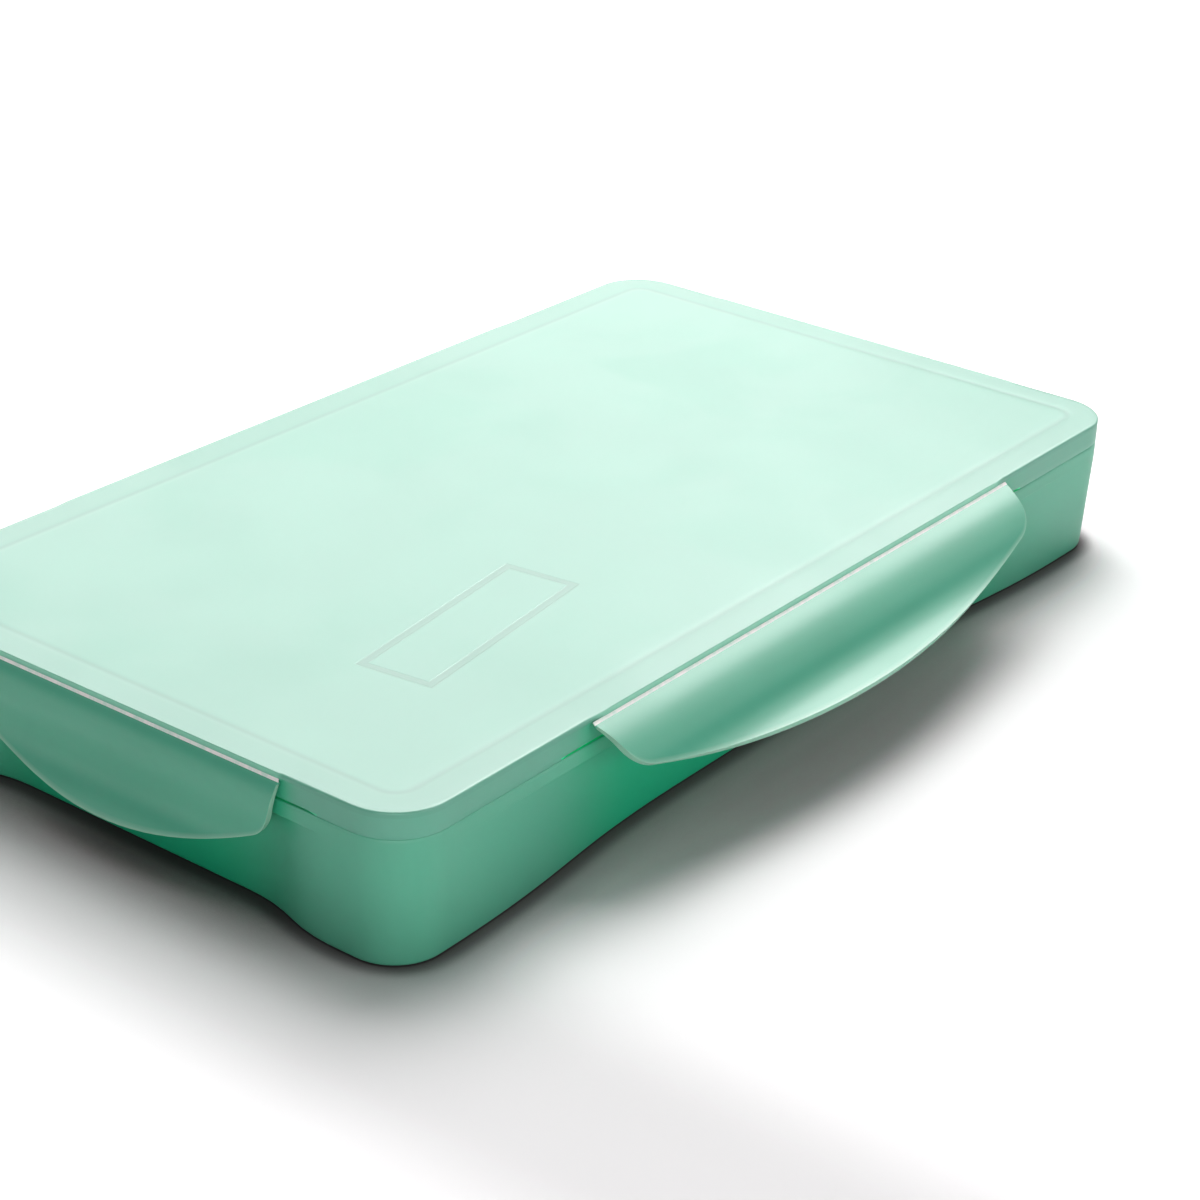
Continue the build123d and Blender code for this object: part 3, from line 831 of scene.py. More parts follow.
def lid_section(case, lid, at_hinge, at_relief):
    """Half section of the lid as (inset, height), from the top's middle to the underside's."""
    top = case.height
    section = [(18 * MM, top), (13 * MM, top)]
    for turn in np.linspace(-1, 1, 9):
        dip = lid.sink_depth * (0.5 + 0.5 * math.cos(math.pi * turn))
        section.append((lid.sink - turn * lid.sink_width * 0.65, top - dip))
    section += [(4.5 * MM, top), (1.6 * MM, top)]
    if at_hinge:
        chamfer = ((0.12, 0), (0.02, 0), (-0.2, 0.2), (-0.45, 0.41), (-0.68, 0.6))
        section += [(inset * MM, top - drop * MM) for inset, drop in chamfer]
        section += [(-lid.nose, top - drop * MM) for drop in (0.8, 1.3)]
        section += [(0, top - drop * MM) for drop in (1.5, 1.8)]
    else:
        for angle in np.linspace(0, math.pi / 2, 5):
            inset = lid.edge * (1 - math.sin(angle))
            section.append((inset, top - lid.edge * (1 - math.cos(angle))))
        section += [(0, top - drop * MM) for drop in (0.9, 1.3, 1.5, 1.8)]
    low = top - lid.skirt + (lid.relief if at_relief else 0)
    soft, softer, side = 0.2 * MM, 0.06 * MM, lid.side
    section += [(0, top - 3 * MM), (0, top - 4.6 * MM), (0, low + soft)]
    section += [(softer, low + softer), (soft, low), (side - soft, low), (side, low + soft)]
    under = top - lid.plate
    outer = case.wall + lid.gap
    inner = outer + lid.lip
    lip = top - lid.skirt - case.band + outer
    section += [(side, under), (outer, under), (outer, lip + 0.5 * MM)]
    section += [(outer + 0.3 * MM, lip), (inner - 0.3 * MM, lip), (inner, lip + 0.5 * MM)]
    return section + [(inner, under), (8 * MM, under), (12 * MM, under)]


class PAINTBOX_OT_lid(bpy.types.Operator):
    """Make the lid, with its hinge noses, skirt, relief gaps and fitting rib"""

    bl_idname = "paintbox.lid"
    bl_label = "Lid"

    def execute(self, context):
        """Skin rings whose section changes where a hinge or a relief gap starts."""
        settings = context.scene.paintbox
        case, lid, flaps = settings.case, settings.lid, settings.flaps
        step = 0.03 * MM
        marks = []
        for half in (flaps.long / 2, flaps.short / 2):
            relief_end = half + lid.overrun
            marks.append((half, half + step, relief_end, relief_end + step))
        outline = Outline((case.length, case.width), case.corner, marks)
        bm = bmesh.new()
        rim, painted_shade = (bm.verts.layers.float.new(name) for name in ("rim", "painted_shade"))
        columns = []
        for place in outline.places:
            side, along, _ = place
            near = math.inf if along is None else abs(along) - 1e-7
            hinge_end, _, relief_end, _ = marks[side % 2]
            section = lid_section(case, lid, near <= hinge_end, near <= relief_end)
            columns.append([outline.point(place, inset, z) for inset, z in section])
        rows = [add_row(bm, row) for row in zip(*columns)]
        skin(bm, rows, caps=(0, -1))
        # Painted shade: darker along the sink line and a little darker over the band out to the
        # edge.
        for row, weight in zip(rows[4:20], (0.1, 0.35, 0.5, 0.35, *[0.17] * 12)):
            for corner in row:
                corner[painted_shade] = weight
        # Painted light: the hinge strips that stand out of the outline are painted paler.
        for corner in bm.verts:
            out = max(abs(corner.co.x) - case.length / 2, abs(corner.co.y) - case.width / 2)
            corner[rim] = 1.5 if out > 0.02 * MM else 0.0
        piece = finish_mesh(bm, "paint_box_lid")
        material = mint_plastic("lid_plastic", settings.colours.lid, 0.34, framed=True)
        place_piece(piece, material, "lid", "lid")
        return {"FINISHED"}


# ---- flaps and living hinges


class HingedSide:
    """One side of the box, seen from its hinge axis."""

    def __init__(self, settings, name):
        case, self.flaps = settings.case, settings.flaps
        self.side = SIDES[name]
        self.short = self.side % 2 == 1
        self.size = self.flaps.short if self.short else self.flaps.long
        self.opening = self.flaps.opening if name == "front" else 0.0
        distance = (case.length if self.short else case.width) / 2
        self.axis = OUT[self.side] * (distance + self.flaps.axis_out)
        self.axis += UP * (case.height - self.flaps.axis_drop)

    def point(self, along, out, up, opening=None):
        """A point given along the axis, outward and upward from it, with the flap's opening."""
        angle = self.opening if opening is None else opening
        across = out * math.cos(angle) - up * math.sin(angle)
        rise = out * math.sin(angle) + up * math.cos(angle)
        return self.axis + ALONG[self.side] * along + OUT[self.side] * across + UP * rise

    def closed(self, along, out, drop):
        """A point of the flap given closed: outward of the case and below the lid's top."""
        return self.point(along, out - self.flaps.axis_out, self.flaps.axis_drop - drop)


class FlapSheet:
    """The curved sheet of one flap: its outer face, its thickness and its crescent outline."""

    def __init__(self, flaps, short):
        self.flaps = flaps
        self.root = flaps.axis_drop + flaps.web + 0.08 * MM
        self.half = (flaps.short if short else flaps.long) / 2
        self.slant = flaps.short_slant if short else flaps.long_slant
        self.middle = flaps.short_middle if short else flaps.long_middle
        start = (flaps.axis_out + 0.08 * MM, -self.root)
        through = ((2.95 * MM, -10 * MM), (2.2 * MM, -18.5 * MM), (5.5 * MM, -27.4 * MM))
        tip = math.radians(60)
        line = smooth_line((start, *through), (0.4, -1), (math.cos(tip), -math.sin(tip)), 40)
        self.outs, self.drops = line[:, 0], -line[:, 1]
        self.slopes = np.gradient(self.outs, self.drops)

    def outer(self, drop):
        """Distance outward at a drop."""
        return float(np.interp(drop, self.drops, self.outs))

    def inner(self, drop):
        """The point behind the outer face, through the sheet."""
        places = (self.root, 10 * MM, 18.5 * MM, 27.4 * MM)
        full = self.flaps.thickness
        thick = float(np.interp(drop, places, (0.7 * MM, full, 1.4 * MM, full)))
        slope = float(np.interp(drop, self.drops, self.slopes))
        normal = Vector((1, slope)).normalized() * thick
        return self.outer(drop) - normal.x, drop + normal.y

    def side(self, drop):
        """Half length of the flap at a drop, above its rounded corners."""
        return self.half - self.slant * drop / self.flaps.corner_drop

    def lower_edge(self, steps=26, corner_steps=9):
        """Points of the lower edge from one end's side to the other's, as (along, drop)."""
        corner = self.flaps.corner
        foot = self.half - self.slant
        rise = self.middle - self.flaps.corner_drop
        radius = (foot**2 + rise**2) / (2 * rise)
        centre = Vector((0, self.middle - radius))
        down = Vector((-self.slant, self.flaps.corner_drop)).normalized()
        inward = Vector((-down.y, down.x))
        start = Vector((self.half, 0)) + inward * corner - centre
        part = start.dot(down)
        travel = math.sqrt(part**2 - start.dot(start) + (radius - corner) ** 2) - part
        middle = centre + start + down * travel
        away = middle - centre
        first, last = math.atan2(-inward.y, -inward.x), math.atan2(away.y, away.x)

        def arc(middle, radius, low, high, parts):
            turns = [low + (high - low) * part for part in parts]
            return [middle + Vector((math.cos(a), math.sin(a))) * radius for a in turns]

        right = arc(middle, corner, first, last, np.linspace(0, 1, corner_steps + 1))
        bottom = arc(centre, radius, last, math.pi - last, np.linspace(0, 1, steps + 1)[1:-1])
        left = [Vector((-point.x, point.y)) for point in reversed(right)]
        return list(reversed(right + bottom + left))


def fold_shade(drop, opened):
    """How much painted shade lies in the folds across a flap, by the drop in millimetres."""
    folds = ((16.0, 4.4, 0.85),) if opened else ((2.6, 3.0, 0.8), (22.5, 4.5, 0.7))
    total = 0.0
    for middle, reach, weight in folds:
        part = min(1.0, abs(drop - middle) / reach)
        total += weight * (0.5 + 0.5 * math.cos(math.pi * part))
    return total


def make_flap(settings, name):
    """One flap as a closed sheet with a soft rim."""
    side = HingedSide(settings, name)
    sheet = FlapSheet(settings.flaps, side.short)
    edge = sheet.lower_edge()
    slant = sheet.side(sheet.root) / abs(edge[0].x)
    bm = bmesh.new()
    rim = bm.verts.layers.float.new("rim")
    painted_shade = bm.verts.layers.float.new("painted_shade")
    outer_rows, inner_rows = [], []
    levels = [(i / 30, 1.5) for i in range(30)] + [(1.0, 1.3), (1.0, 0.65), (1.0, 0.0)]
    for part, gap in levels:
        outer_row, inner_row = [], []
        for point in edge:
            drop = sheet.root + (point.y - gap * MM - sheet.root) * part
            down = (drop - sheet.root) / (point.y - sheet.root)
            along = point.x * ((1 - down) * slant + down)
            outer_row.append(bm.verts.new(side.closed(along, sheet.outer(drop), drop)))
            # Painted shade in the folds across the flap.
            outer_row[-1][painted_shade] = fold_shade(drop / MM, side.opening > 0)
            inner_row.append(bm.verts.new(side.closed(along, *sheet.inner(drop))))
        outer_rows.append(outer_row)
        inner_rows.append(inner_row)
    skin(bm, outer_rows, ring=False)
    skin(bm, inner_rows, ring=False)
    for end in (0, -1):
        skin(bm, [outer_rows[end], inner_rows[end]], ring=False)
        ends = [[row[end] for row in rows] for rows in (outer_rows, inner_rows)]
        skin(bm, ends, ring=False)
    # Painted highlight: the rim rows and the ends are painted paler.
    for rows in (outer_rows, inner_rows):
        for row, weight in ((rows[-1], 1.3), (rows[-2], 0.5)):
            for vertex in row:
                vertex[rim] = weight
        for row in rows[3:]:
            row[0][rim] = row[-1][rim] = 1.4
    add_latch(bm, side, sheet)
    piece = finish_mesh(bm, f"locking_flap_{name}")
    bevel = piece.modifiers.new("Soft Rim", "BEVEL")
    bevel.width = settings.flaps.rim
    bevel.segments = 3
    bevel.limit_method = "ANGLE"
    bevel.angle_limit = math.radians(50)
    return piece


def add_latch(bm, side, sheet):
    """The rounded rib inside a flap that snaps under the case's rim band."""
    reach = sheet.half - sheet.flaps.latch
    foot = 2.2
    profile = (
        (10.5, foot), (10.7, 1.3), (11.4, 0.42), (11.6, 0.35),
        (11.8, 0.42), (12.5, 1.3), (12.7, foot),
    )
    rows = []
    for part in (-1.0, -0.985, -0.96, -0.9, 0.9, 0.96, 0.985, 1.0):
        size = math.sqrt(max(0.02, 1 - max(0.0, abs(part) - 0.9) ** 2 * 98))
        rows.append(add_row(bm, [
            side.closed(part * reach, (foot - (foot - out) * size) * MM, drop * MM)
            for drop, out in profile
        ]))
    skin(bm, rows, caps=(0, -1))


class PAINTBOX_OT_flaps(bpy.types.Operator):
    """Make the four curved flaps that lock the lid"""

    bl_idname = "paintbox.flaps"
    bl_label = "Flaps"

    def execute(self, context):
        """Make one flap for each side, the front one open."""
        settings = context.scene.paintbox
        material = mint_plastic("flap_plastic", settings.colours.mint, 0.31, bays=False)
        for name in SIDES:
            piece = make_flap(settings, name)
            place_piece(piece, material, f"flap_{name}", f"flap_{name}")
        return {"FINISHED"}


def hinge_section(opening):
    """Section of a living hinge from its axis, bent to the flap's opening."""
    turn = Matrix.Rotation(opening, 2)
    nose, root = Vector((-0.2, 0.255)), turn @ Vector((0.075, -0.455))
    bulge = (root - nose).orthogonal().normalized() * -0.05
    section = [Vector((-0.34, 0.2)), nose]
    for part in (0.2, 0.5, 0.8):
        section.append(nose.lerp(root, part) + bulge * (1 - (2 * part - 1) ** 2))
    section.append(root)
    section += [turn @ Vector(point) for point in ((0.02, -0.54), (-0.22, -0.54), (-0.24, -0.4))]
    return [point * MM for point in (*section, Vector((-0.2, -0.06)), Vector((-0.34, -0.06)))]


class PAINTBOX_OT_hinges(bpy.types.Operator):
    """Make the living hinges, thin strips whitened by bending"""

    bl_idname = "paintbox.hinges"
    bl_label = "Living Hinges"

    def execute(self, context):
        """Sweep a thin strip from the lid's nose to the flap's root, and bend it between them."""
        settings = context.scene.paintbox
        material = hinge_plastic(settings.colours.web)
        for name in SIDES:
            side = HingedSide(settings, name)
            section = hinge_section(side.opening)
            half = side.size / 2 - 0.3 * MM
            count = round(side.size / (4 * MM))
            rows = []
            for i in range(count + 1):
                along = half * (2 * i / count - 1)
                rows.append([side.point(along, x, y, 0.0) for x, y in section])
            piece = make_solid(f"living_hinge_{name}", rows)
            place_piece(piece, material, None, f"hinge_web_{name}")
            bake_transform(piece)
        return {"FINISHED"}


# ---- what lies inside


def cup_centres(contents):
    """The cups' numbers and centres, row by row from the front."""
    centres = []
    for row in range(contents.rows):
        for column in range(contents.columns):
            x = (column - (contents.columns - 1) / 2) * contents.pitch
            y = (row - (contents.rows - 1) / 2) * contents.pitch
            centres.append((x, y))
    return enumerate(centres, start=1)


class PAINTBOX_OT_cups(bpy.types.Operator):
    """Make the paint cups"""

    bl_idname = "paintbox.cups"
    bl_label = "Paint Cups"

    def execute(self, context):
        """Skin rounded rings from the foot, round the flange, to the floor inside."""
        settings = context.scene.paintbox
        contents = settings.contents
        material = cup_plastic(settings.colours.cup, [colours for _, colours in PAINTS.values()])
        top, low = contents.cup_top / MM, settings.case.floor / MM
        wall, brim = contents.cup_wall / MM, contents.brim / MM
        foot = brim + contents.taper / MM
        sections = (  # inset, height and corner radius in millimetres
            (foot + 1.2, low, 3.0),
            (foot + 0.35, low + 0.3, 3.4),
            (foot, low + 1.1, 3.8),
            (brim + 0.3, top - 2.2, 4.8),
            (brim, top - 1.0, 5.0),
            (0.2, top - 1.0, 6.0),
            (0.0, top - 0.8, 6.0),
            (0.0, top - 0.2, 6.0),
            (0.2, top, 6.0),
            (brim + wall - 0.25, top, 4.8),
            (brim + wall, top - 0.3, 4.6),
            (foot + wall, low + wall + 0.8, 3.4),
            (foot + wall + 0.8, low + wall, 2.8),
        )
        for number, centre in cup_centres(contents):
            rows = []
            for inset, z, radius in sections:
                size = contents.flange / 2 - inset * MM
                rows.append(rounded_ring(size, size, radius * MM, z * MM, centre))
            piece = make_solid(f"cup_{number:02d}", rows)
            place_piece(piece, material, "paint_cups", f"paint_cup_{number:02d}")
        return {"FINISHED"}


def seal_rings(contents, centre, chance):
    """Rings of one seal, from under its edge to the middle of its crinkled sheet."""
    half, top = contents.flange / 2 - 0.4 * MM, contents.cup_top
    waves = [
        (chance.uniform(0, 6.28), chance.uniform(0.3, 0.9) / MM / 2, chance.uniform(0, 6.28))
        for _ in range(6)
    ]

    def crinkled(point, height, sink):
        x, y = point.x - centre[0], point.y - centre[1]
        total = 0.0
        for angle, rate, phase in waves:
            total += math.sin((x * math.cos(angle) + y * math.sin(angle)) * rate + phase)
        return point + UP * (height + sink * (0.10 * MM * total / 3 - 0.35 * MM))

    steps = [(0.0, 0.0), (0.5, 0.0), (1.0, 0.0), (1.5, 0.0), (2.2, 0.1)]
    steps += [(3.2 + 1.3 * i, min(1.0, 0.35 + 0.2 * i)) for i in range(14)]
    rings = [rounded_ring(half, half, 5.8 * MM, top + 0.01 * MM, centre, 6, 8)]
    for inset, sink in steps:
        size = half - inset * MM
        radius = min(max(0.4, 5.8 - inset * 0.45) * MM, size * 0.9)
        rib = 0.035 * MM if inset in (0.5, 1.5) else 0.0
        height = contents.foil - 0.06 * MM + rib
        ring = rounded_ring(size, size, radius, top, centre, 6, 8)
        rings.append([crinkled(point, height, sink) for point in ring])
    return rings


class PAINTBOX_OT_seals(bpy.types.Operator):
    """Make the foil seals on the cups"""

    bl_idname = "paintbox.seals"
    bl_label = "Foil Seals"

    def execute(self, context):
        """Lay a crinkled sheet on each flange, sunk a little over the paint."""
        settings = context.scene.paintbox
        material = seal_foil(settings.colours.foil)
        for number, centre in cup_centres(settings.contents):
            rings = seal_rings(settings.contents, centre, random.Random(number))
            piece = make_solid(f"seal_{number:02d}", rings, 60, caps=(-1,))
            place_piece(piece, material, "paint_cups", f"foil_seal_{number:02d}")
        return {"FINISHED"}


class PAINTBOX_OT_paints(bpy.types.Operator):
    """Dress the three rows of moist paint"""

    bl_idname = "paintbox.paints"
    bl_label = "Paints"

    def execute(self, context):
        """Give each row of paint its own six colours."""
        for row, (name, colours) in PAINTS.items():
            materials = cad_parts[f"paint_row_{row}"].data.materials
            materials.clear()
            materials.append(moist_paint(name, colours))
        return {"FINISHED"}


class PAINTBOX_OT_palette(bpy.types.Operator):
    """Make the palette with its wells and brush channel"""

    bl_idname = "paintbox.palette"
    bl_label = "Palette"

    def execute(self, context):
        """Sink rounded wells into a flanged tray."""
        settings = context.scene.paintbox
        case, lid, contents = settings.case, settings.lid, settings.contents
        shelf = case.height - lid.skirt - case.band + case.wall
        low, high, wall = contents.palette_low, contents.palette_high, contents.palette_wall
        inset = case.wall + case.bay + lid.gap + case.draft * (shelf - low) / shelf
        flange = case.wall + 2 * lid.gap + lid.lip
        half_x, half_y = case.length / 2 - inset, case.width / 2 - inset
        corner = contents.well_corner + wall
        ledge, brim = inset - flange, case.corner - flange
        soft, tenth = 0.4 * MM, 0.1 * MM
        bm = bmesh.new()
        rows = []
        for grow, z, radius in (
            (-soft, low, corner - soft),
            (-tenth, low + 0.12 * MM, corner),
            (0, low + soft, corner),
            (0, shelf, corner),
            (ledge - 0.15 * MM, shelf, brim),
            (ledge, shelf + 0.2 * MM, brim),
            (ledge, shelf + 1.0 * MM, brim),
            (ledge - 0.2 * MM, shelf + 1.2 * MM, brim),
            (0.2 * MM, shelf + 1.2 * MM, corner),
            (0, shelf + 1.4 * MM, corner),
            (0, high - soft, corner),
            (-tenth, high - 0.12 * MM, corner),
            (-soft, high, corner - soft),
        ):
            ring = rounded_ring(half_x + grow, half_y + grow, radius, z, (0, 0), 10, 24)
            rows.append(add_row(bm, ring))
        skin(bm, rows, caps=(0,))
        rims = [rows[-1]]
        inside_x, inside_y = half_x - wall, half_y - wall
        channel_front, small_back = inside_y - contents.channel, contents.small_well - inside_y
        for count, front, back in (
            (1, channel_front, inside_y),
            (2, small_back + wall, channel_front - wall),
            (6, -inside_y, small_back),
        ):
            span = (2 * inside_x - (count - 1) * wall) / count
            for i in range(count):
                centre = ((i - (count - 1) / 2) * (span + wall), (front + back) / 2)
                rims.append(sink_well(bm, contents, centre, span / 2, (back - front) / 2))
        rim_edges = [
            bm.edges.get(ends) for rim in rims for ends in zip(rim, rim[1:] + rim[:1])
        ]
        bmesh.ops.triangle_fill(bm, use_beauty=True, edges=rim_edges, normal=UP)
        piece = finish_mesh(bm, "mixing_palette", 50)
        material = palette_plastic(settings.colours.palette)
        place_piece(piece, material, "palette", "palette")
        return {"FINISHED"}


def sink_well(bm, contents, centre, half_x, half_y):
    """One well of the palette; returns its rim."""
    high, radius = contents.palette_high, contents.well_corner
    floor = contents.palette_low + 1.2 * MM
    rows = []
    for inset, z, turn in (
        (-0.4 * MM, high, radius + 0.4 * MM),
        (-0.12 * MM, high - 0.1 * MM, radius + 0.12 * MM),
        (0, high - 0.4 * MM, radius),
        (0.1 * MM, floor + 1.4 * MM, radius),
        (0.32 * MM, floor + 0.45 * MM, radius),
        (0.75 * MM, floor + 0.08 * MM, radius),
        (1.3 * MM, floor, radius * 0.8),
    ):
        ring = rounded_ring(half_x - inset, half_y - inset, turn, z, centre, 8, 10)
        rows.append(add_row(bm, ring))
    skin(bm, rows, caps=(-1,))
    return rows[0]


BRUSHES = ((17.0, 2.3), (15.0, 2.1), (13.0, 1.7))  # length and radius of each tuft, in mm


class PAINTBOX_OT_brushes(bpy.types.Operator):
    """Make the three round brushes"""

    bl_idname = "paintbox.brushes"
    bl_label = "Brushes"

    def execute(self, context):
        """Turn each handle and ferrule, and lay a tuft of separate fibres."""
        colours = context.scene.paintbox.colours
        wood = lacquered_wood(colours.wood)
        metal = ferrule_metal(colours.ferrule)
        fibre = bristle_fibre(colours.bristle)
        for number, (tuft, radius) in enumerate(BRUSHES, start=1):
            low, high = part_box(f"brush_{number}_handle")
            middle = (low + high) / 2
            origin = Vector((-92 * MM, middle.y, middle.z))
            sleeve, end = radius + 0.4, tuft + 30.0
            line = ferrule_line(tuft, end, sleeve, radius)
            ferrule = lathe(f"ferrule_{number}", line, origin, 50)
            place_piece(ferrule, metal, "brushes", f"brush_{number}_ferrule")
            line = handle_line(end, sleeve, radius)
            handle = lathe(f"handle_{number}", line, origin, 60)
            place_piece(handle, wood, "brushes", f"brush_{number}_handle")
            bristles = make_tuft(f"tuft_{number}", origin, tuft * MM, radius * MM, number)
            place_piece(bristles, fibre, "brushes", f"brush_{number}_bristles")
        return {"FINISHED"}


def ferrule_line(start, end, sleeve, inside):
    """Section of a ferrule: a tube with two crimped rings."""
    line = [(start, inside + 0.05), (start, sleeve - 0.08), (start + 0.1, sleeve)]
    for ring in (end - 9.0, end - 5.5):
        for offset, depth in ((-0.9, 0), (-0.45, 0.12), (0, 0.22), (0.45, 0.12), (0.9, 0)):
            line.append((ring + offset, sleeve - depth))
    line += [(end - 0.1, sleeve), (end, sleeve - 0.08), (end, inside + 0.05)]
    return line + [(start, inside + 0.05)]


def handle_line(start, sleeve, inside):
    """Section of a handle: plug, shoulder, belly, neck and rounded end."""
    through = ((start + 22.3, 3.3), (start + 74.4, 2.3), (start + 122.5, 1.5))
    line = [(start - 7, 0), (start - 7, inside), (start, inside), (start, sleeve - 0.1)]
    line += smooth_line(((start, sleeve), *through), (1, 0.12), (1, -0.03), 14).tolist()
    ends = ((123.2, 1.35), (123.7, 0.9), (124, 0.35), (124, 0))
    return line + [(start + x, radius) for x, radius in ends]


def make_tuft(name, origin, size, radius, seed):
    """A round tuft of tapered fibres that come together at the tip."""
    chance = random.Random(seed)
    fibres, golden_angle, thick = 170, 2.39996, 0.11 * MM
    square = [Vector((0, math.cos(a), math.sin(a))) for a in np.radians((0, 90, 180, 270))]
    bm = bmesh.new()
    for index in range(fibres):
        spread = math.sqrt((index + 0.5) / fibres)
        reach = size * (1 - 0.12 * spread**2 - 0.03 * chance.random())
        rows = []
        for step in range(8):
            t = step / 7
            x = size + 3 * MM - t * (reach + 3 * MM)
            outward = 1 - max(0.0, (size - x) / size)
            belly = min(radius * spread * min(1.0, 1.06 * outward**0.42), radius - 0.1 * MM)
            turn = index * golden_angle + 0.05 * math.sin(3 * t + index)
            centre = origin + Vector((x, belly * math.cos(turn), belly * math.sin(turn)))
            rows.append(add_row(bm, [centre + way * thick * (1 - 0.75 * t) for way in square]))
        skin(bm, rows, caps=(0, -1))
    return finish_mesh(bm, name, 80)


# ---- the stage


class PAINTBOX_OT_stage(bpy.types.Operator):
    """Set the table, the lamps and the camera"""

    bl_idname = "paintbox.stage"
    bl_label = "Stage"

    def execute(self, context):
        """Lay a pale table under soft lamps, and place the camera."""
        scene = context.scene
        stage = scene.paintbox.stage
        bm = bmesh.new()
        bmesh.ops.create_grid(bm, x_segments=8, y_segments=8, size=4.0)
        table = finish_mesh(bm, "table")
        table.location.z = -0.05 * MM
        paper = table_white(scene.paintbox.colours.floor, stage.gain, stage.glow)
        table.data.materials.append(paper)
        set_world(scene, stage.sky)
        for name, power, size, place in (
            ("key_softbox", stage.key, (1.05, 1.05), (0.64, 0.43, 1.19)),
            ("top_softbox", stage.top, (1.05, 1.05), (0.0, 0.52, 1.28)),
            ("rear_softbox", stage.rear, (1.35, 0.75), (0.0, 1.19, 0.75)),
            ("near_card", stage.near, (1.0, 0.3), (-1.03, -0.81, 0.17)),
            ("side_card", stage.side, (1.0, 0.4), (0.15, -1.27, 0.28)),
        ):
            add_lamp(name, power, size, place)
        for name, part, size, place in (
            ("low_sheen", 0.54, (1.65, 1.2), (1.16, 1.43, 0.94)),
            ("high_sheen", 1.0, (1.35, 1.2), (1.55, 0.20, 1.40)),
            ("front_sheen", 0.1, (0.9, 0.9), (1.65, -0.68, 1.13)),
        ):
            add_lamp(name, stage.sheen * part, size, place).visible_diffuse = False
        add_camera(scene, stage)
        scene.view_settings.view_transform = "Standard"
        return {"FINISHED"}


def table_white(colour, gain, glow):
    """Smooth pale paper that keeps the box's shadow, deepened by painted shade from ambient
    occlusion and a painted shadow patch by the left end; darkest, and tinted neutral, where it
    touches.
    """
    bench = Finish("table_paper")
    fibre = bench.noise(bench.where, 900.0, 2.0)
    paper = bench.mix(fibre, rgba(colour, 0.99), rgba(colour, 1.01))
    # Painted shade: three ambient-occlusion reaches deepen the box's shadow on the table near it.
    near, wide, far = (
        bench.add("ShaderNodeAmbientOcclusion", {"Distance": reach * MM}, samples=16).outputs["AO"]
        for reach in (7, 25, 70)
    )
    # Painted shadow: a patch by the box's left end is darkened further.
    left_shadow_patch = bench.times(bench.remap(bench.x, -0.115, -0.15), bench.remap(bench.x, -0.21, -0.175))
    shade = bench.remap(near, 0.6, 0.92, 0.42, 1.0)
    shade = bench.times(shade, bench.remap(wide, 0.28, 0.88, 0.28, 1.0))
    shade = bench.times(shade, bench.remap(far, 0.05, 1.0, 0.6, 1.12))
    shade = bench.times(shade, bench.raised(1.0, left_shadow_patch, -0.22))
    # Painted tint: magenta near the box's foot, cancelling the green light that the box bounces on
    # to the table.
    tinted = bench.mix(bench.remap(far, 0.2, 0.85), (1.24, 0.9, 1.02, 1.0), (1.02, 1.0, 1.01, 1.0))
    seen = bench.scaled(bench.scaled(tinted, gain), shade)
    direct = bench.add("ShaderNodeLightPath").outputs["Is Camera Ray"]
    away = bench.add("ShaderNodeVectorMath", {0: bench.where}, operation="LENGTH")
    lift = bench.times(bench.remap(away.outputs["Value"], 0.2, 0.75), glow)
    return bench.apply(
        bench.mix(direct, bench.scaled(paper, shade), seen), 1.0, Emission_Color=WHITE,
        Emission_Strength=bench.times(lift, direct), Specular_IOR_Level=0.0,
    )


def set_world(scene, sky):
    """A dim room that looks white to the camera, in reflections and through clear pieces."""
    scene.world = bpy.data.worlds.new("pale_room")
    scene.world.use_nodes = True
    bench = Bench(scene.world.node_tree)
    path = bench.add("ShaderNodeLightPath").outputs
    seen = bench.math("MAXIMUM", path["Is Camera Ray"], path["Is Glossy Ray"])
    seen = bench.math("MAXIMUM", seen, path["Is Transmission Ray"])
    light = {"Color": WHITE, "Strength": bench.raised(sky, seen, 1.0 - sky)}
    light = bench.add("ShaderNodeBackground", light).outputs[0]
    bench.add("ShaderNodeOutputWorld", {"Surface": light})


def add_lamp(name, power, size, place):
    """A soft rectangular lamp aimed at the box."""
    lamp = bpy.data.lights.new(name, "AREA")
    lamp.shape = "RECTANGLE"
    lamp.size, lamp.size_y = size
    lamp.energy = power
    lit = bpy.data.objects.new(name, lamp)
    lit.location = place
    lit.rotation_euler = (Vector((0, 0, 0.02)) - Vector(place)).to_track_quat("-Z", "Y").to_euler()
    lit.visible_camera = False
    bpy.context.scene.collection.objects.link(lit)
    return lit


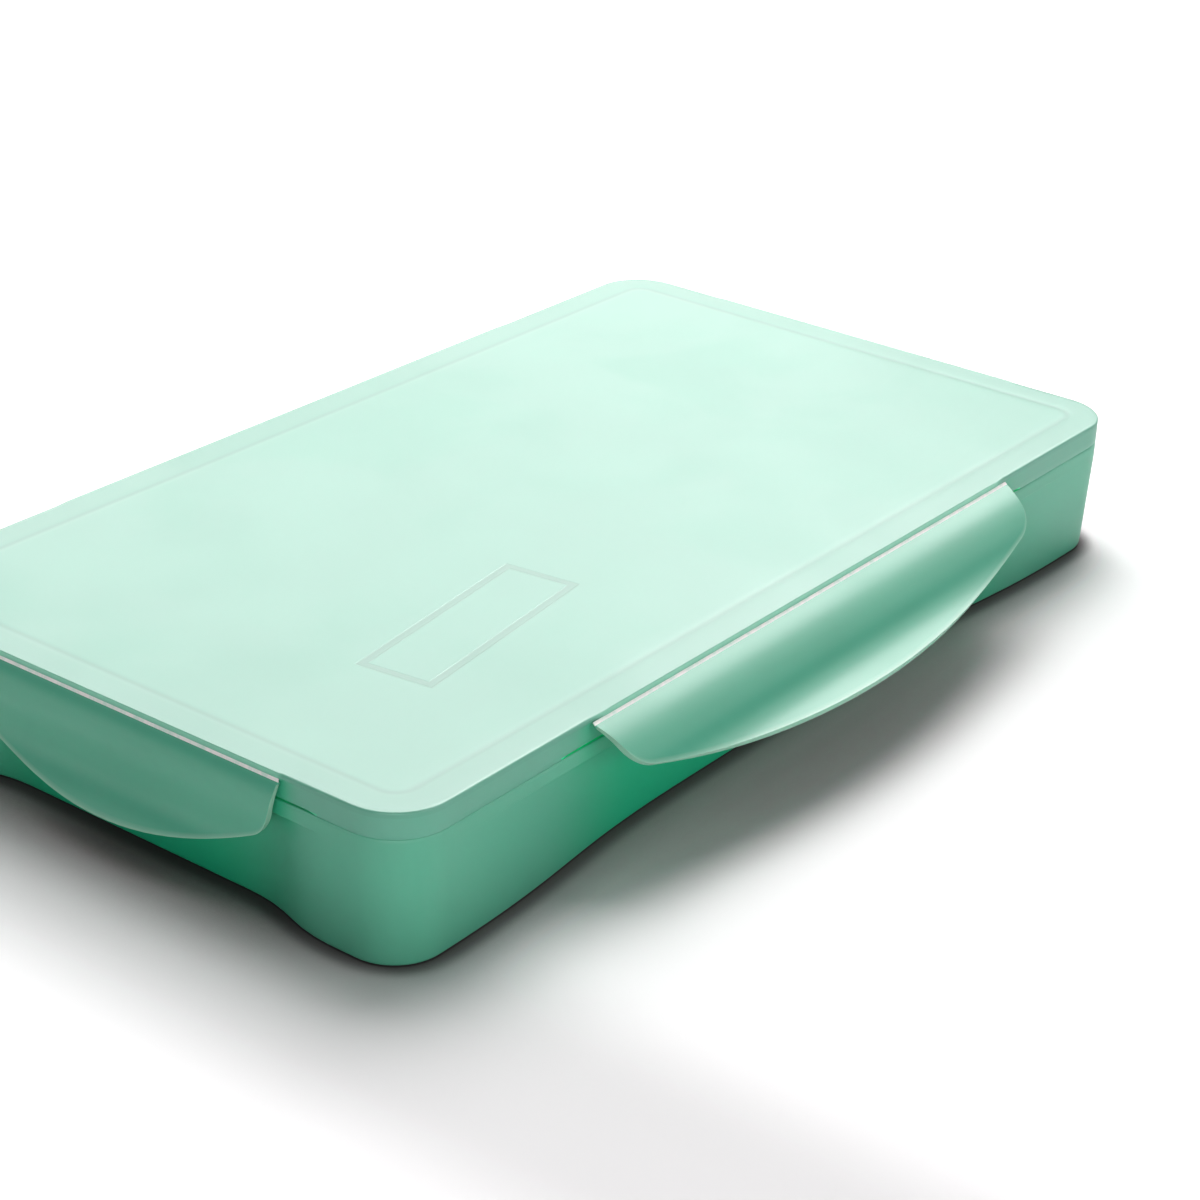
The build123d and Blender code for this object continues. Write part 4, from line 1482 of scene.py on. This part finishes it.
def add_camera(scene, stage):
    """The camera, from its direction, roll and place."""
    flat = math.cos(stage.elevation)
    back = Vector((
        math.sin(stage.azimuth) * flat, -math.cos(stage.azimuth) * flat, math.sin(stage.elevation)
    ))
    across = (-back).cross(UP).normalized()
    down = (-back).cross(across)
    turn_cos, turn_sin = math.cos(stage.roll), math.sin(stage.roll)
    right = across * turn_cos + down * turn_sin
    up = across * turn_sin - down * turn_cos
    turned = Matrix((right, up, back)).transposed().to_4x4()
    lens = bpy.data.cameras.new("camera")
    lens.lens = stage.focal
    lens.sensor_width = 36
    lens.clip_start = 0.01
    camera = bpy.data.objects.new("camera", lens)
    camera.matrix_world = Matrix.Translation(stage.place) @ turned
    scene.collection.objects.link(camera)
    scene.camera = camera


# ---- panel and start


STEPS = (
    PAINTBOX_OT_case, PAINTBOX_OT_lid, PAINTBOX_OT_flaps, PAINTBOX_OT_hinges,
    PAINTBOX_OT_palette, PAINTBOX_OT_cups, PAINTBOX_OT_seals, PAINTBOX_OT_paints,
    PAINTBOX_OT_brushes, PAINTBOX_OT_stage,
)


class PAINTBOX_PT_panel(bpy.types.Panel):
    """The paint box's pieces, sizes and colours"""

    bl_idname = "PAINTBOX_PT_panel"
    bl_label = "Paint Box"
    bl_space_type = "VIEW_3D"
    bl_region_type = "UI"
    bl_category = "Paint Box"

    def draw(self, context):
        """List the steps, then every size and colour."""
        column = self.layout.column(align=True)
        for step in STEPS:
            column.operator(step.bl_idname)
        settings = context.scene.paintbox
        for name in PaintBoxSettings.__annotations__:
            group = getattr(settings, name)
            box = self.layout.box()
            box.label(text=name.title())
            for item in type(group).__annotations__:
                box.prop(group, item)


CLASSES = (
    PaintBoxCase, PaintBoxLid, PaintBoxFlaps, PaintBoxContents, PaintBoxColours, PaintBoxStage,
    PaintBoxSettings, *STEPS, PAINTBOX_PT_panel,
)


def register():
    """Make the classes and the settings known to Blender."""
    for cls in CLASSES:
        bpy.utils.register_class(cls)
    bpy.types.Scene.paintbox = PointerProperty(type=PaintBoxSettings)


def unregister():
    """Take the settings and the classes back out."""
    del bpy.types.Scene.paintbox
    for cls in reversed(CLASSES):
        bpy.utils.unregister_class(cls)


def main():
    """Make every piece and the stage."""
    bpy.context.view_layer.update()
    register()
    for step in STEPS:
        group, name = step.bl_idname.split(".")
        getattr(getattr(bpy.ops, group), name)()


if __name__ == "__main__":
    main()
